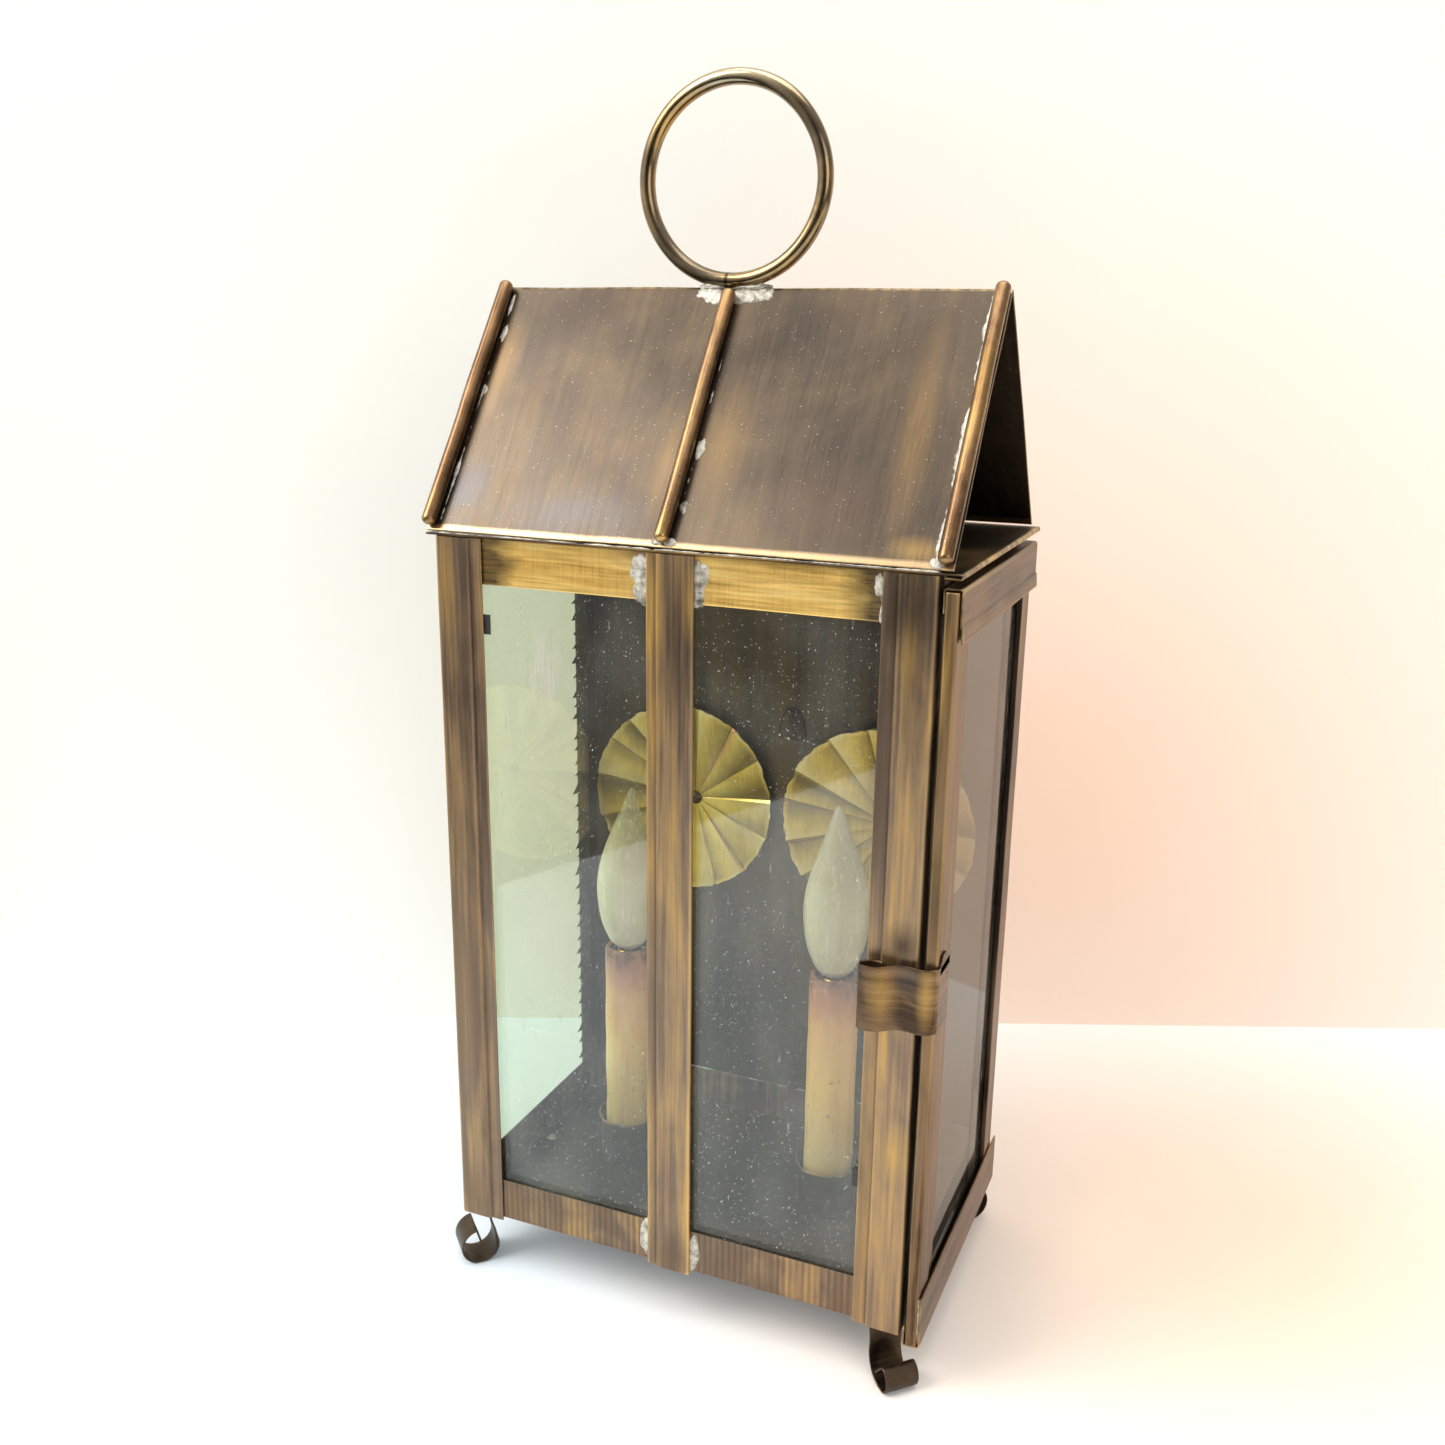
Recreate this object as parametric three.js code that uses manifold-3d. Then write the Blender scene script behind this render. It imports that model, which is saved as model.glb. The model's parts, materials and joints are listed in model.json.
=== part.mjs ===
// Gabled brass lantern with two electric candles, a glazed side door and a carrying ring.
// Millimetres, +X to the right, -Y to the front, +Z up; the feet stand on z = 0.
import * as THREE from "three";
import { mergeVertices } from "three/addons/utils/BufferGeometryUtils.js";
import Module from "manifold-3d";

const wasm = await Module();
wasm.setup();

// ---- driving dimensions --------------------------------------------------------------
const SHEET = 0.9; // thickness of the folded brass sheet
const GAP = 0.3; // clearance between neighbouring pieces
const HALF_WIDTH = 115;
const HALF_DEPTH = 74;
const FOOT_HEIGHT = 27; // floor to the bottom of the corner posts
const BODY_TOP = 372.5; // underside of the roof plate
const RAIL_HEIGHT = 21; // headers and the upturned sides of the floor pan
const BAND = 16.2; // flat band of a folded frame strip
const LIP = 6.6; // narrow lip beside the band
const LIP_STEP = 1.15; // how far the lip lies behind the band
const GLASS = 2.2;
const RIDGE_TOP = 480.5;
const PLATE_LEFT = -119.2;
const PLATE_RIGHT = 124.4;
const ROOF_LEFT = -119.2;
const ROOF_RIGHT = 120.4;
const ROOF_HALF_DEPTH = 73.9;
const ROD_RADIUS = 3.2;
const RING_X = -3.9;
const RING_RADIUS = 41.6; // to the centre of the ring's wire
const RING_WIRE = 3.5;
const RING_CENTRE_Z = 524;
const DOOR_INNER = 117.8;
const DOOR_OUTER = 123.4;
const DOOR_FRONT = -75.2;
const DOOR_BOTTOM = 23.6;
const DOOR_TOP = 367.4;
const DOOR_GLASS = 1.8;
const REFLECTOR_RADIUS = 52.5;
const REFLECTOR_Z = 213.8;
const PLEATS = 16;
const SLEEVE_RADIUS = 12.6;
const CUP_RADIUS = 16.5;
const CUP_HEIGHT = 25;
const BULB_LENGTH = 86;
const FOOT_WIDTH = 16.5;

// Each candle stands in front of its reflector; the sleeves were cut to slightly different lengths.
const CANDLES = [
  { side: "left", x: -60.2, y: 5.8, top: 152.8, reflectorX: -58.5 },
  { side: "right", x: 52.6, y: 6, top: 158.9, reflectorX: 52.7 },
];
const ROOF_RODS = [
  { side: "left", x: -116.9, stop: 0 },
  { side: "middle", x: -3, stop: 4 },
  { side: "right", x: 117.2, stop: 0 },
];
const CORNERS = [
  { place: "front_left", x: -1, y: -1 },
  { place: "front_right", x: 1, y: -1 },
  { place: "rear_left", x: -1, y: 1 },
  { place: "rear_right", x: 1, y: 1 },
];
const HINGES = [
  { place: "upper", z: 296 },
  { place: "lower", z: 82 },
];

// ---- derived places ------------------------------------------------------------------
const POST_TOP = BODY_TOP - GAP;
const RAIL_INSET = LIP_STEP + SHEET + GAP; // outer face of a rail behind the outer face of the posts
const RAIL_BOTTOM = BODY_TOP - RAIL_HEIGHT;
const PAN_BOTTOM = FOOT_HEIGHT + 1.4;
const PAN_TOP = PAN_BOTTOM + RAIL_HEIGHT + 0.4;
const PAN_FLOOR = PAN_BOTTOM + SHEET;
const PAN_REAR = HALF_DEPTH - SHEET - GAP;
const PAN_RIGHT = HALF_WIDTH - SHEET - GAP;
const GLASS_INSET = RAIL_INSET + SHEET + GAP; // outer face of the glass behind the posts' face
const PLATE_TOP = BODY_TOP + SHEET;
const BACK_RETURN = 21.5; // how far the back panel's sides come forward

// ---- materials -----------------------------------------------------------------------
const finish = (color, roughness, metalness, extra = {}) =>
  new THREE.MeshStandardMaterial({ color, roughness, metalness, ...extra });
const antique = finish(0x6b5340, 0.42, 0.9);
const brightBrass = finish(0xb08a3c, 0.3, 1);
const pane = finish(0xc9d6c8, 0.05, 0, { transparent: true, opacity: 0.35 });
const wax = finish(0xd9b27c, 0.55, 0);
const frosted = finish(0xe6e6dc, 0.35, 0, { transparent: true, opacity: 0.8 });
const blackPlastic = finish(0x1c1c1c, 0.5, 0);
const plated = finish(0xb9a06a, 0.3, 1);

const lantern = new THREE.Group();
lantern.name = "candle_lantern";

// ---- geometry helpers ----------------------------------------------------------------
// A mesh's volume is positive when its faces point out.
function signedVolume(geometry) {
  const soup = geometry.index ? geometry.toNonIndexed() : geometry;
  const p = soup.getAttribute("position");
  const corner = [new THREE.Vector3(), new THREE.Vector3(), new THREE.Vector3()];
  let volume = 0;
  for (let i = 0; i < p.count; i += 3) {
    corner.forEach((v, k) => v.fromBufferAttribute(p, i + k));
    volume += corner[0].dot(corner[1].clone().cross(corner[2])) / 6;
  }
  return volume;
}

// The same surface with its vertices merged and its faces pointing out.
function closed(geometry) {
  const bare = new THREE.BufferGeometry().setAttribute("position", geometry.getAttribute("position"));
  if (geometry.index) bare.setIndex(geometry.index);
  const merged = mergeVertices(bare, 1e-3);
  if (signedVolume(merged) < 0) {
    const order = merged.index.array;
    for (let i = 0; i < order.length; i += 3) [order[i + 1], order[i + 2]] = [order[i + 2], order[i + 1]];
  }
  return merged;
}

function solidOf(geometry) {
  const mesh = closed(geometry);
  return new wasm.Manifold(
    new wasm.Mesh({
      numProp: 3,
      vertProperties: new Float32Array(mesh.attributes.position.array),
      triVerts: new Uint32Array(mesh.index.array),
    }),
  );
}

function geometryOf(solid) {
  const mesh = solid.getMesh();
  const points = new Float32Array(mesh.numVert * 3);
  for (let i = 0; i < mesh.numVert; i++) {
    points.set(mesh.vertProperties.subarray(i * mesh.numProp, i * mesh.numProp + 3), i * 3);
  }
  return new THREE.BufferGeometry()
    .setAttribute("position", new THREE.BufferAttribute(points, 3))
    .setIndex(new THREE.BufferAttribute(new Uint32Array(mesh.triVerts), 1));
}

const cut = (body, ...tools) =>
  geometryOf(tools.reduce((solid, tool) => solid.subtract(solidOf(tool)), solidOf(body)));
const join = (body, ...more) => geometryOf(more.reduce((solid, piece) => solid.add(solidOf(piece)), solidOf(body)));

function add(name, geometry, material) {
  const smooth = closed(geometry);
  smooth.computeVertexNormals();
  const mesh = new THREE.Mesh(smooth, material);
  mesh.name = name;
  lantern.add(mesh);
  return mesh;
}

const shapeOf = (points) => new THREE.Shape(points.map(([a, b]) => new THREE.Vector2(a, b)));

// Outline of a thin sheet of the given thickness along an open path, with mitred bends.
function sheetOutline(path, thickness = SHEET) {
  const half = thickness / 2;
  const along = path.slice(1).map(([x, y], i) => new THREE.Vector2(x - path[i][0], y - path[i][1]).normalize());
  const sides = [[], []];
  path.forEach(([x, y], i) => {
    const before = along[Math.max(i - 1, 0)];
    const after = along[Math.min(i, along.length - 1)];
    const mitre = new THREE.Vector2(-before.y - after.y, before.x + after.x).normalize();
    const reach = half / Math.max(mitre.dot(new THREE.Vector2(-before.y, before.x)), 0.5);
    sides[0].push([x + mitre.x * reach, y + mitre.y * reach]);
    sides[1].unshift([x - mitre.x * reach, y - mitre.y * reach]);
  });
  return shapeOf([...sides[0], ...sides[1]]);
}

const swept = (shape, length) => new THREE.ExtrudeGeometry(shape, { depth: length, bevelEnabled: false });

// A plan (x, y) raised from one height to another.
const upright = (shape, low, high) => swept(shape, high - low).translate(0, 0, low);

// A section (y, z) swept along X, and a section (x, z) swept along Y.
function alongX(shape, low, high) {
  const turn = new THREE.Matrix4().makeBasis(
    new THREE.Vector3(0, 1, 0),
    new THREE.Vector3(0, 0, 1),
    new THREE.Vector3(1, 0, 0),
  );
  return swept(shape, high - low).applyMatrix4(turn).translate(low, 0, 0);
}

function alongY(shape, low, high) {
  const turn = new THREE.Matrix4().makeBasis(
    new THREE.Vector3(1, 0, 0),
    new THREE.Vector3(0, 0, 1),
    new THREE.Vector3(0, -1, 0),
  );
  return swept(shape, high - low).applyMatrix4(turn).translate(0, high, 0);
}

function block(x0, x1, y0, y1, z0, z1) {
  return new THREE.BoxGeometry(x1 - x0, y1 - y0, z1 - z0).translate((x0 + x1) / 2, (y0 + y1) / 2, (z0 + z1) / 2);
}

// A profile of (radius, height) turned about a vertical axis.
function turned(profile, sides = 32) {
  const points = profile.map(([radius, height]) => new THREE.Vector2(radius, height));
  return new THREE.LatheGeometry(points, sides).rotateX(Math.PI / 2);
}

const rod = (radius, low, high, sides = 24) =>
  turned([[0, low], [radius, low], [radius, high], [0, high]], sides);

const pipe = (outer, inner, low, high, sides = 32) =>
  turned([[inner, low], [outer, low], [outer, high], [inner, high], [inner, low]], sides);

// ---- body ----------------------------------------------------------------------------
// Plan path of a folded strip's face: lip, step and band, ending at the corner.
// across runs along the face towards the corner, depth runs inwards from the face.
function stripFace(lipStart, corner, face) {
  const towards = Math.sign(corner - lipStart);
  const inwards = -Math.sign(face);
  const bandLine = face + (inwards * SHEET) / 2;
  const lipLine = bandLine + inwards * LIP_STEP;
  const seam = lipStart + towards * LIP;
  return [
    [lipStart, lipLine],
    [seam - towards * 0.2, lipLine],
    [seam + towards * 0.3, bandLine],
    [corner - (towards * SHEET) / 2, bandLine],
  ];
}

function addPosts() {
  const width = BAND + LIP;
  const front = stripFace(-HALF_WIDTH + width, -HALF_WIDTH, -HALF_DEPTH);
  const side = stripFace(-HALF_DEPTH + width, -HALF_DEPTH, -HALF_WIDTH)
    .map(([along, depth]) => [depth, along])
    .reverse();
  const leftPlan = sheetOutline([...front, ...side.slice(1)]);
  add("post_front_left", upright(leftPlan, FOOT_HEIGHT, POST_TOP), antique);

  const rightFront = stripFace(HALF_WIDTH - width, HALF_WIDTH, -HALF_DEPTH);
  const sideEnd = [HALF_WIDTH - SHEET / 2, -HALF_DEPTH + BAND];
  const rightPlan = sheetOutline([...rightFront, sideEnd]);
  add("post_front_right", upright(rightPlan, FOOT_HEIGHT, POST_TOP), antique);
}

function addMuntin() {
  const left = -11.2;
  const right = 11;
  const path = stripFace(left, right, -HALF_DEPTH);
  path[1][0] = left + 4.9;
  path[2][0] = left + 5.3;
  const fold = [right - SHEET / 2, -HALF_DEPTH + LIP_STEP + SHEET];
  add("front_muntin", upright(sheetOutline([...path, fold]), FOOT_HEIGHT, POST_TOP), antique);
}

function addHeaders() {
  const outer = HALF_DEPTH - RAIL_INSET;
  const span = HALF_WIDTH - 3;
  add("front_top_rail", block(-span, span, -outer, -outer + SHEET, RAIL_BOTTOM, POST_TOP), brightBrass);
  const from = -outer + SHEET + GAP;
  const leftFace = -HALF_WIDTH + RAIL_INSET;
  add("left_top_rail", block(leftFace, leftFace + SHEET, from, PAN_REAR, RAIL_BOTTOM, POST_TOP), antique);
  add("right_top_rail", block(PAN_RIGHT - SHEET, PAN_RIGHT, from, PAN_REAR, RAIL_BOTTOM, POST_TOP), antique);
}

// A pan with upturned sides: they show between the posts as the bottom rails.
function addFloorPan() {
  const left = -HALF_WIDTH + RAIL_INSET;
  const front = -HALF_DEPTH + RAIL_INSET;
  const outside = block(left, PAN_RIGHT, front, PAN_REAR, PAN_BOTTOM, PAN_TOP);
  const inside = block(left + SHEET, PAN_RIGHT - SHEET, front + SHEET, PAN_REAR - SHEET, PAN_FLOOR, PAN_TOP + 5);
  const holes = CANDLES.map(({ x, y }) => rod(5.2, PAN_BOTTOM - 5, PAN_FLOOR + 5).translate(x, y, 0));
  add("floor_pan", cut(outside, inside, ...holes), antique);
}

// The back is one sheet with its sides bent forward; a keyhole in it takes the wall screw.
const KEYHOLE = { x: 3, z: 260, head: 4.2, slot: 2.1, rise: 9 };

function addBackPanel() {
  const side = HALF_WIDTH - SHEET / 2;
  const rear = HALF_DEPTH - SHEET / 2;
  const forward = HALF_DEPTH - BACK_RETURN;
  const plan = sheetOutline([[-side, forward], [-side, rear], [side, rear], [side, forward]]);
  const head = rod(KEYHOLE.head, -3, 3).rotateX(Math.PI / 2).translate(KEYHOLE.x, rear, KEYHOLE.z);
  const slot = block(
    KEYHOLE.x - KEYHOLE.slot,
    KEYHOLE.x + KEYHOLE.slot,
    rear - 3,
    rear + 3,
    KEYHOLE.z,
    KEYHOLE.z + KEYHOLE.rise,
  );
  add("back_panel", cut(upright(plan, FOOT_HEIGHT, POST_TOP), head, slot), antique);
}

// A half dome soldered over the keyhole, open to the rear.
function addHangerCap() {
  const radius = 8;
  const depth = 0.75;
  const tallness = 2;
  const seat = HALF_DEPTH - SHEET - GAP;
  const base = KEYHOLE.z - 5;
  const dome = (r) => new THREE.SphereGeometry(r, 20, 12).scale(1, depth, tallness).translate(KEYHOLE.x, seat, base);
  const behind = block(-20, 30, seat, seat + 20, base - 20, base + 30);
  const below = (z) => block(-20, 30, seat - 20, seat + 20, base - 20, z);
  const hollow = cut(dome(radius - SHEET), below(base + SHEET));
  add("hanger_cap", cut(dome(radius), behind, below(base), hollow), antique);
}

function addPanes() {
  const outer = -HALF_DEPTH + GLASS_INSET;
  const low = PAN_FLOOR + GAP;
  const side = HALF_WIDTH - 3.6;
  add("front_glass_left", block(-side, -GAP, outer, outer + GLASS, low, POST_TOP), pane);
  add("front_glass_right", block(0, side, outer, outer + GLASS, low, POST_TOP), pane);
  const leftFace = -HALF_WIDTH + GLASS_INSET;
  const rear = HALF_DEPTH - BACK_RETURN + 3;
  add("left_glass", block(leftFace, leftFace + GLASS, outer + GLASS + GAP, rear, low, POST_TOP), pane);
}

// Small tongues of sheet bent out from behind the lips to hold the panes.
function addGlassTabs() {
  const outer = -HALF_DEPTH + RAIL_INSET;
  const thin = 0.6;
  const reach = BAND + LIP;
  add("glass_tab_front_left", block(-HALF_WIDTH + reach - 5, -HALF_WIDTH + reach + 3, outer, outer + thin, 329, 338), antique);
  add("glass_tab_front_right", block(HALF_WIDTH - reach - 3, HALF_WIDTH - reach + 5, outer, outer + thin, 96, 105), antique);
  const sideFace = -HALF_WIDTH + RAIL_INSET;
  const sideEdge = -HALF_DEPTH + reach;
  add("glass_tab_side", block(sideFace, sideFace + thin, sideEdge - 5, sideEdge + 3, 120, 129), antique);
}

// ---- roof ----------------------------------------------------------------------------
// The flat plate that closes the body; its right edge is folded under as a hem.
function addRoofPlate() {
  const middle = BODY_TOP + SHEET / 2;
  const hemDrop = 1.5;
  const edge = PLATE_RIGHT - SHEET / 2;
  const section = sheetOutline([
    [PLATE_LEFT, middle],
    [edge, middle],
    [edge, middle - hemDrop],
    [HALF_WIDTH + 2, middle - hemDrop],
  ]);
  const reach = ROOF_HALF_DEPTH + 0.9;
  add("roof_plate", alongY(section, -reach, reach), antique);
}

const SLOPE_FOOT = PLATE_TOP + GAP + 0.6;
const SLOPE_RUN = new THREE.Vector2(ROOF_HALF_DEPTH, RIDGE_TOP - 0.8 - SLOPE_FOOT);
const SLOPE_LENGTH = SLOPE_RUN.length();
const SLOPE_DIRECTION = SLOPE_RUN.clone().normalize();
const SLOPE_NORMAL = new THREE.Vector2(-SLOPE_DIRECTION.y, SLOPE_DIRECTION.x);

// Section (y, z) of both slopes, bent over the ridge, raised by a clearance for cutting.
function roofSection(thickness) {
  const apex = SLOPE_FOOT + SLOPE_RUN.y;
  return sheetOutline([[-ROOF_HALF_DEPTH, SLOPE_FOOT], [0, apex], [ROOF_HALF_DEPTH, SLOPE_FOOT]], thickness);
}

function addRoofSheet() {
  add("roof_sheet", alongX(roofSection(SHEET), ROOF_LEFT, ROOF_RIGHT), antique);
}

// Round rods with domed ends run up the front slope over the seams of the sheet.
function addRoofRods() {
  const offset = SHEET / 2 + GAP + ROD_RADIUS;
  for (const { side, x, stop } of ROOF_RODS) {
    const length = SLOPE_LENGTH - stop - 1;
    const profile = [[0, 0]];
    const dome = 4;
    for (let i = 1; i <= dome; i++) {
      const angle = (i / dome) * (Math.PI / 2);
      profile.push([ROD_RADIUS * Math.sin(angle), ROD_RADIUS * (1 - Math.cos(angle))]);
    }
    const top = profile.map(([radius, height]) => [radius, length - height]).reverse();
    const geometry = turned([...profile, ...top], 16);
    geometry.rotateX(-Math.atan2(SLOPE_DIRECTION.x, SLOPE_DIRECTION.y));
    const footY = -ROOF_HALF_DEPTH + SLOPE_DIRECTION.x * 1 + SLOPE_NORMAL.x * offset;
    const footZ = SLOPE_FOOT + SLOPE_DIRECTION.y * 1 + SLOPE_NORMAL.y * offset;
    geometry.translate(x, footY, footZ);
    add("roof_rod_" + side, geometry, antique);
  }
}

// The carrying ring is filed to a saddle where it sits on the ridge.
function addRing() {
  const ring = new THREE.TorusGeometry(RING_RADIUS, RING_WIRE, 14, 56)
    .rotateX(Math.PI / 2)
    .translate(RING_X, 0, RING_CENTRE_Z);
  const apex = RIDGE_TOP + GAP / SLOPE_DIRECTION.x;
  const depth = 30;
  const fall = (depth * SLOPE_DIRECTION.y) / SLOPE_DIRECTION.x;
  const wedge = alongX(shapeOf([[-depth, apex - fall], [depth, apex - fall], [0, apex]]), -60, 60);
  add("ring_handle", cut(ring, wedge), antique);
}

// ---- feet ----------------------------------------------------------------------------
// Side path of a scroll foot: (outward from the corner, height), from the tab under the pan to the tip.
function footPath() {
  const steps = 18;
  const step = (16 * Math.PI) / 180;
  const loop = 9.15;
  const centreOut = -6.7;
  const centreUp = loop * Math.cos(step / 2) + SHEET / 2; // the lowest facet lies flat on z = 0
  const under = PAN_BOTTOM - GAP - SHEET / 2;
  const path = [[-26, under], [-12.6, under], [-12.2, under - 2]];
  const start = (150 * Math.PI) / 180;
  for (let i = 0; i <= steps; i++) {
    const angle = start + step * i;
    path.push([centreOut + loop * Math.cos(angle), centreUp + loop * Math.sin(angle)]);
  }
  path.push([-6.6, 13], [-8.8, 5.6]);
  return path;
}

// The front right foot was bent by hand into a tighter roll that stands a little further out.
function tightFootPath() {
  const under = PAN_BOTTOM - GAP - SHEET / 2;
  const floor = SHEET / 2;
  const neck = [[-26, under], [-12.6, under], [-12.2, under - 2], [-11.7, 19], [-12, 13], [-11, 8], [-8.8, 3.8]];
  const roll = [[-5.4, 1.5], [-1.6, floor], [1.9, floor], [4, 2.2], [5.1, 4.9], [5, 7.8], [3.8, 10.6], [1.6, 12.4]];
  const tongue = [[0, 12.4], [-2.8, 9.2], [-5.8, 5.6]];
  return [...neck, ...roll, ...tongue];
}

function addFeet() {
  for (const { place, x, y } of CORNERS) {
    const tight = place === "front_right";
    const profile = sheetOutline(tight ? tightFootPath() : footPath());
    const outward = new THREE.Vector3(x, y, 0).normalize();
    const up = new THREE.Vector3(0, 0, 1);
    const axis = outward.clone().cross(up);
    const frame = new THREE.Matrix4().makeBasis(outward, up, axis);
    const geometry = swept(profile, FOOT_WIDTH).translate(0, 0, -FOOT_WIDTH / 2).applyMatrix4(frame);
    add("foot_" + place, geometry.translate(x * HALF_WIDTH, y * HALF_DEPTH, 0), antique);
  }
}

// ---- candles -------------------------------------------------------------------------
// Shallow fan-pleated dish; its hub lies off the centre of its rim.
function reflectorGeometry() {
  const hubHole = 2;
  const thickness = 0.5;
  const dish = 4.6;
  const fold = 1.5;
  const hubOffset = 6.5;
  const rings = 4;
  const depthAt = (radius) => -dish * (radius / REFLECTOR_RADIUS) ** 1.6;
  const front = [];
  const back = [];
  for (let i = 0; i <= rings; i++) {
    const radius = hubHole + ((REFLECTOR_RADIUS - hubHole) * i) / rings;
    front.push(new THREE.Vector2(radius, depthAt(radius) - thickness));
    back.unshift(new THREE.Vector2(radius, depthAt(radius)));
  }
  const profile = [...front, ...back, front[0].clone()];
  const geometry = new THREE.LatheGeometry(profile, PLEATS * 2);
  const p = geometry.getAttribute("position");
  for (let i = 0; i < p.count; i++) {
    const radius = Math.hypot(p.getX(i), p.getZ(i));
    const turn = Math.atan2(p.getX(i), p.getZ(i)) / (2 * Math.PI);
    const ridge = Math.round(turn * PLEATS * 2) % 2 === 0 ? 1 : 0;
    const share = radius / REFLECTOR_RADIUS;
    p.setY(i, p.getY(i) - ridge * fold * share);
    p.setX(i, p.getX(i) + hubOffset * (1 - share));
  }
  return { geometry, hubOffset };
}

function addReflector({ side, reflectorX }) {
  const seat = HALF_DEPTH - SHEET - GAP;
  const { geometry, hubOffset } = reflectorGeometry();
  add("reflector_" + side, geometry.translate(reflectorX, seat, REFLECTOR_Z), brightBrass);
  const head = [[0, -3.2], [2.2, -2.8], [3.4, -1.6], [3.6, -0.9], [1.6, -0.9], [1.6, 0], [0, 0]];
  const rivet = turned(head, 16).rotateX(-Math.PI / 2).translate(reflectorX + hubOffset, seat, REFLECTOR_Z);
  add("reflector_rivet_" + side, rivet, antique);
}

function addCup({ side, x, y }) {
  const base = PAN_FLOOR + GAP;
  const profile = [
    [5.2, 0],
    [CUP_RADIUS - 1.8, 0],
    [CUP_RADIUS - 1.2, 0.8],
    [CUP_RADIUS - 0.7, CUP_HEIGHT - 2],
    [CUP_RADIUS, CUP_HEIGHT],
    [CUP_RADIUS - 0.9, CUP_HEIGHT],
    [CUP_RADIUS - 1.6, CUP_HEIGHT - 2],
    [CUP_RADIUS - 2.1, 0.9],
    [5.2, 0.9],
    [5.2, 0],
  ];
  add("candle_cup_" + side, turned(profile, 32).translate(x, y, base), antique);
}

// The candle sleeve: a hollow wax-coloured tube with a rolled-in top edge.
function addSleeve({ side, x, y, top }) {
  const low = PAN_FLOOR + GAP + 0.9 + GAP;
  const wall = 1.6;
  const profile = [
    [SLEEVE_RADIUS - wall, low],
    [SLEEVE_RADIUS, low],
    [SLEEVE_RADIUS, top - 2],
    [SLEEVE_RADIUS - 0.6, top],
    [SLEEVE_RADIUS - wall - 0.8, top],
    [SLEEVE_RADIUS - wall, top - 2.4],
    [SLEEVE_RADIUS - wall, low],
  ];
  add("candle_sleeve_" + side, turned(profile, 32).translate(x, y, 0), wax);
}

const TRAY = { x0: -76, x1: 70, y0: -16, y1: 27, low: 18.4 };
const BUSHING = { x: -3, z: 23.75, hole: 3.4 };

// Lamp holder: threaded nipple through the floor, locknut below it and a keyless socket on top.
function addSocket({ side, x, y, top }) {
  const nippleTop = top - 58;
  add("nipple_" + side, pipe(4.8, 3.4, TRAY.low + 5, nippleTop, 20).translate(x, y, 0), plated);
  const nutTop = PAN_BOTTOM - GAP;
  const nut = cut(rod(8.2, nutTop - 3.4, nutTop, 6), rod(5.1, nutTop - 5, nutTop + 2));
  add("locknut_" + side, nut.translate(x, y, 0), plated);
  const mouth = top - 3;
  const holder = [
    [0, nippleTop + GAP],
    [7.4, nippleTop + GAP],
    [8.6, nippleTop + 3],
    [8.6, mouth],
    [6.4, mouth],
    [6.4, mouth - 21],
    [0, mouth - 21],
  ];
  add("socket_" + side, turned(holder, 28).translate(x, y, 0), blackPlastic);
}

function bulbProfile() {
  const outline = [
    [8.3, 1.2],
    [10.8, 5],
    [14.4, 15],
    [16.3, 29],
    [15.5, 41],
    [12.6, 53],
    [8.8, 64],
    [5.2, 74],
    [2.6, 81.5],
    [1.3, 85],
  ].map(([radius, height]) => new THREE.Vector2(radius, height));
  return new THREE.SplineCurve(outline).getPoints(13).map(({ x, y }) => [x, y]);
}

// Flame-tipped glass, open at its neck, and the screw base below it.
function addBulb({ side, x, y, top }) {
  const wall = 0.9;
  const outer = bulbProfile();
  const inner = outer.map(([radius, height]) => [Math.max(radius - wall, 0.4), height - 0.4]).reverse();
  const profile = [[6.6, -0.6], ...outer, [0, BULB_LENGTH], [0, BULB_LENGTH - 1.4], ...inner, [5.7, -0.6], [6.6, -0.6]];
  add("bulb_glass_" + side, turned(profile, 28).translate(x, y, top), frosted);
  const base = [[0, -19], [2.4, -18.6], [2.8, -17.2], [5.9, -15.6], [5.9, -2.4], [5.4, -0.9], [0, -0.9]];
  add("bulb_base_" + side, turned(base, 24).translate(x, y, top), plated);
}

// ---- wiring --------------------------------------------------------------------------
// A shallow tray under the floor covers the leads; the supply cord would enter at the bushing.
function addWiring() {
  const { x0, x1, y0, y1, low } = TRAY;
  const high = PAN_BOTTOM - GAP;
  const wall = 0.8;
  const outside = block(x0, x1, y0, y1, low, high);
  const inside = block(x0 + wall, x1 - wall, y0 + wall, y1 - wall, low + wall, high + 5);
  const hole = rod(BUSHING.hole, -4, 4).rotateX(Math.PI / 2).translate(BUSHING.x, y1, BUSHING.z);
  add("wiring_tray", cut(outside, inside, hole), antique);

  const flange = BUSHING.hole + 0.9;
  const neck = BUSHING.hole - GAP;
  const bore = 2.1;
  const profile = [[bore, -2.6], [flange, -2.6], [flange, -1.4], [neck, -1.4], [neck, 0.2], [flange, 0.2], [flange, 1.6], [bore, 1.6], [bore, -2.6]];
  const bushing = turned(profile, 20).rotateX(-Math.PI / 2).translate(BUSHING.x, y1 + GAP, BUSHING.z);
  add("cord_bushing", bushing, blackPlastic);

  for (const { side, x, y } of CANDLES) {
    const towards = Math.sign(BUSHING.x - x);
    const level = low + wall + GAP + 1.2;
    const route = [
      [x, y, 60],
      [x, y, 32],
      [x, y, 25.5],
      [x + towards * 0.7, y + 0.2, level + 1.9],
      [x + towards * 3, y + 0.8, level + 0.3],
      [x + towards * 8, y + 2.4, level],
      [BUSHING.x - towards * 14, y + 8, level],
      [BUSHING.x - towards * 3.4, y1 - 8, level + 0.8],
      [BUSHING.x - towards * 1.6, y1 - 4.5, BUSHING.z],
    ].map((point) => new THREE.Vector3(...point));
    const section = new THREE.Shape().absarc(0, 0, 1, 0, 2 * Math.PI);
    const curve = new THREE.CatmullRomCurve3(route);
    const lead = new THREE.ExtrudeGeometry(section, { steps: 30, curveSegments: 5, extrudePath: curve });
    add("lead_" + side, lead, blackPlastic);
  }
}

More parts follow.
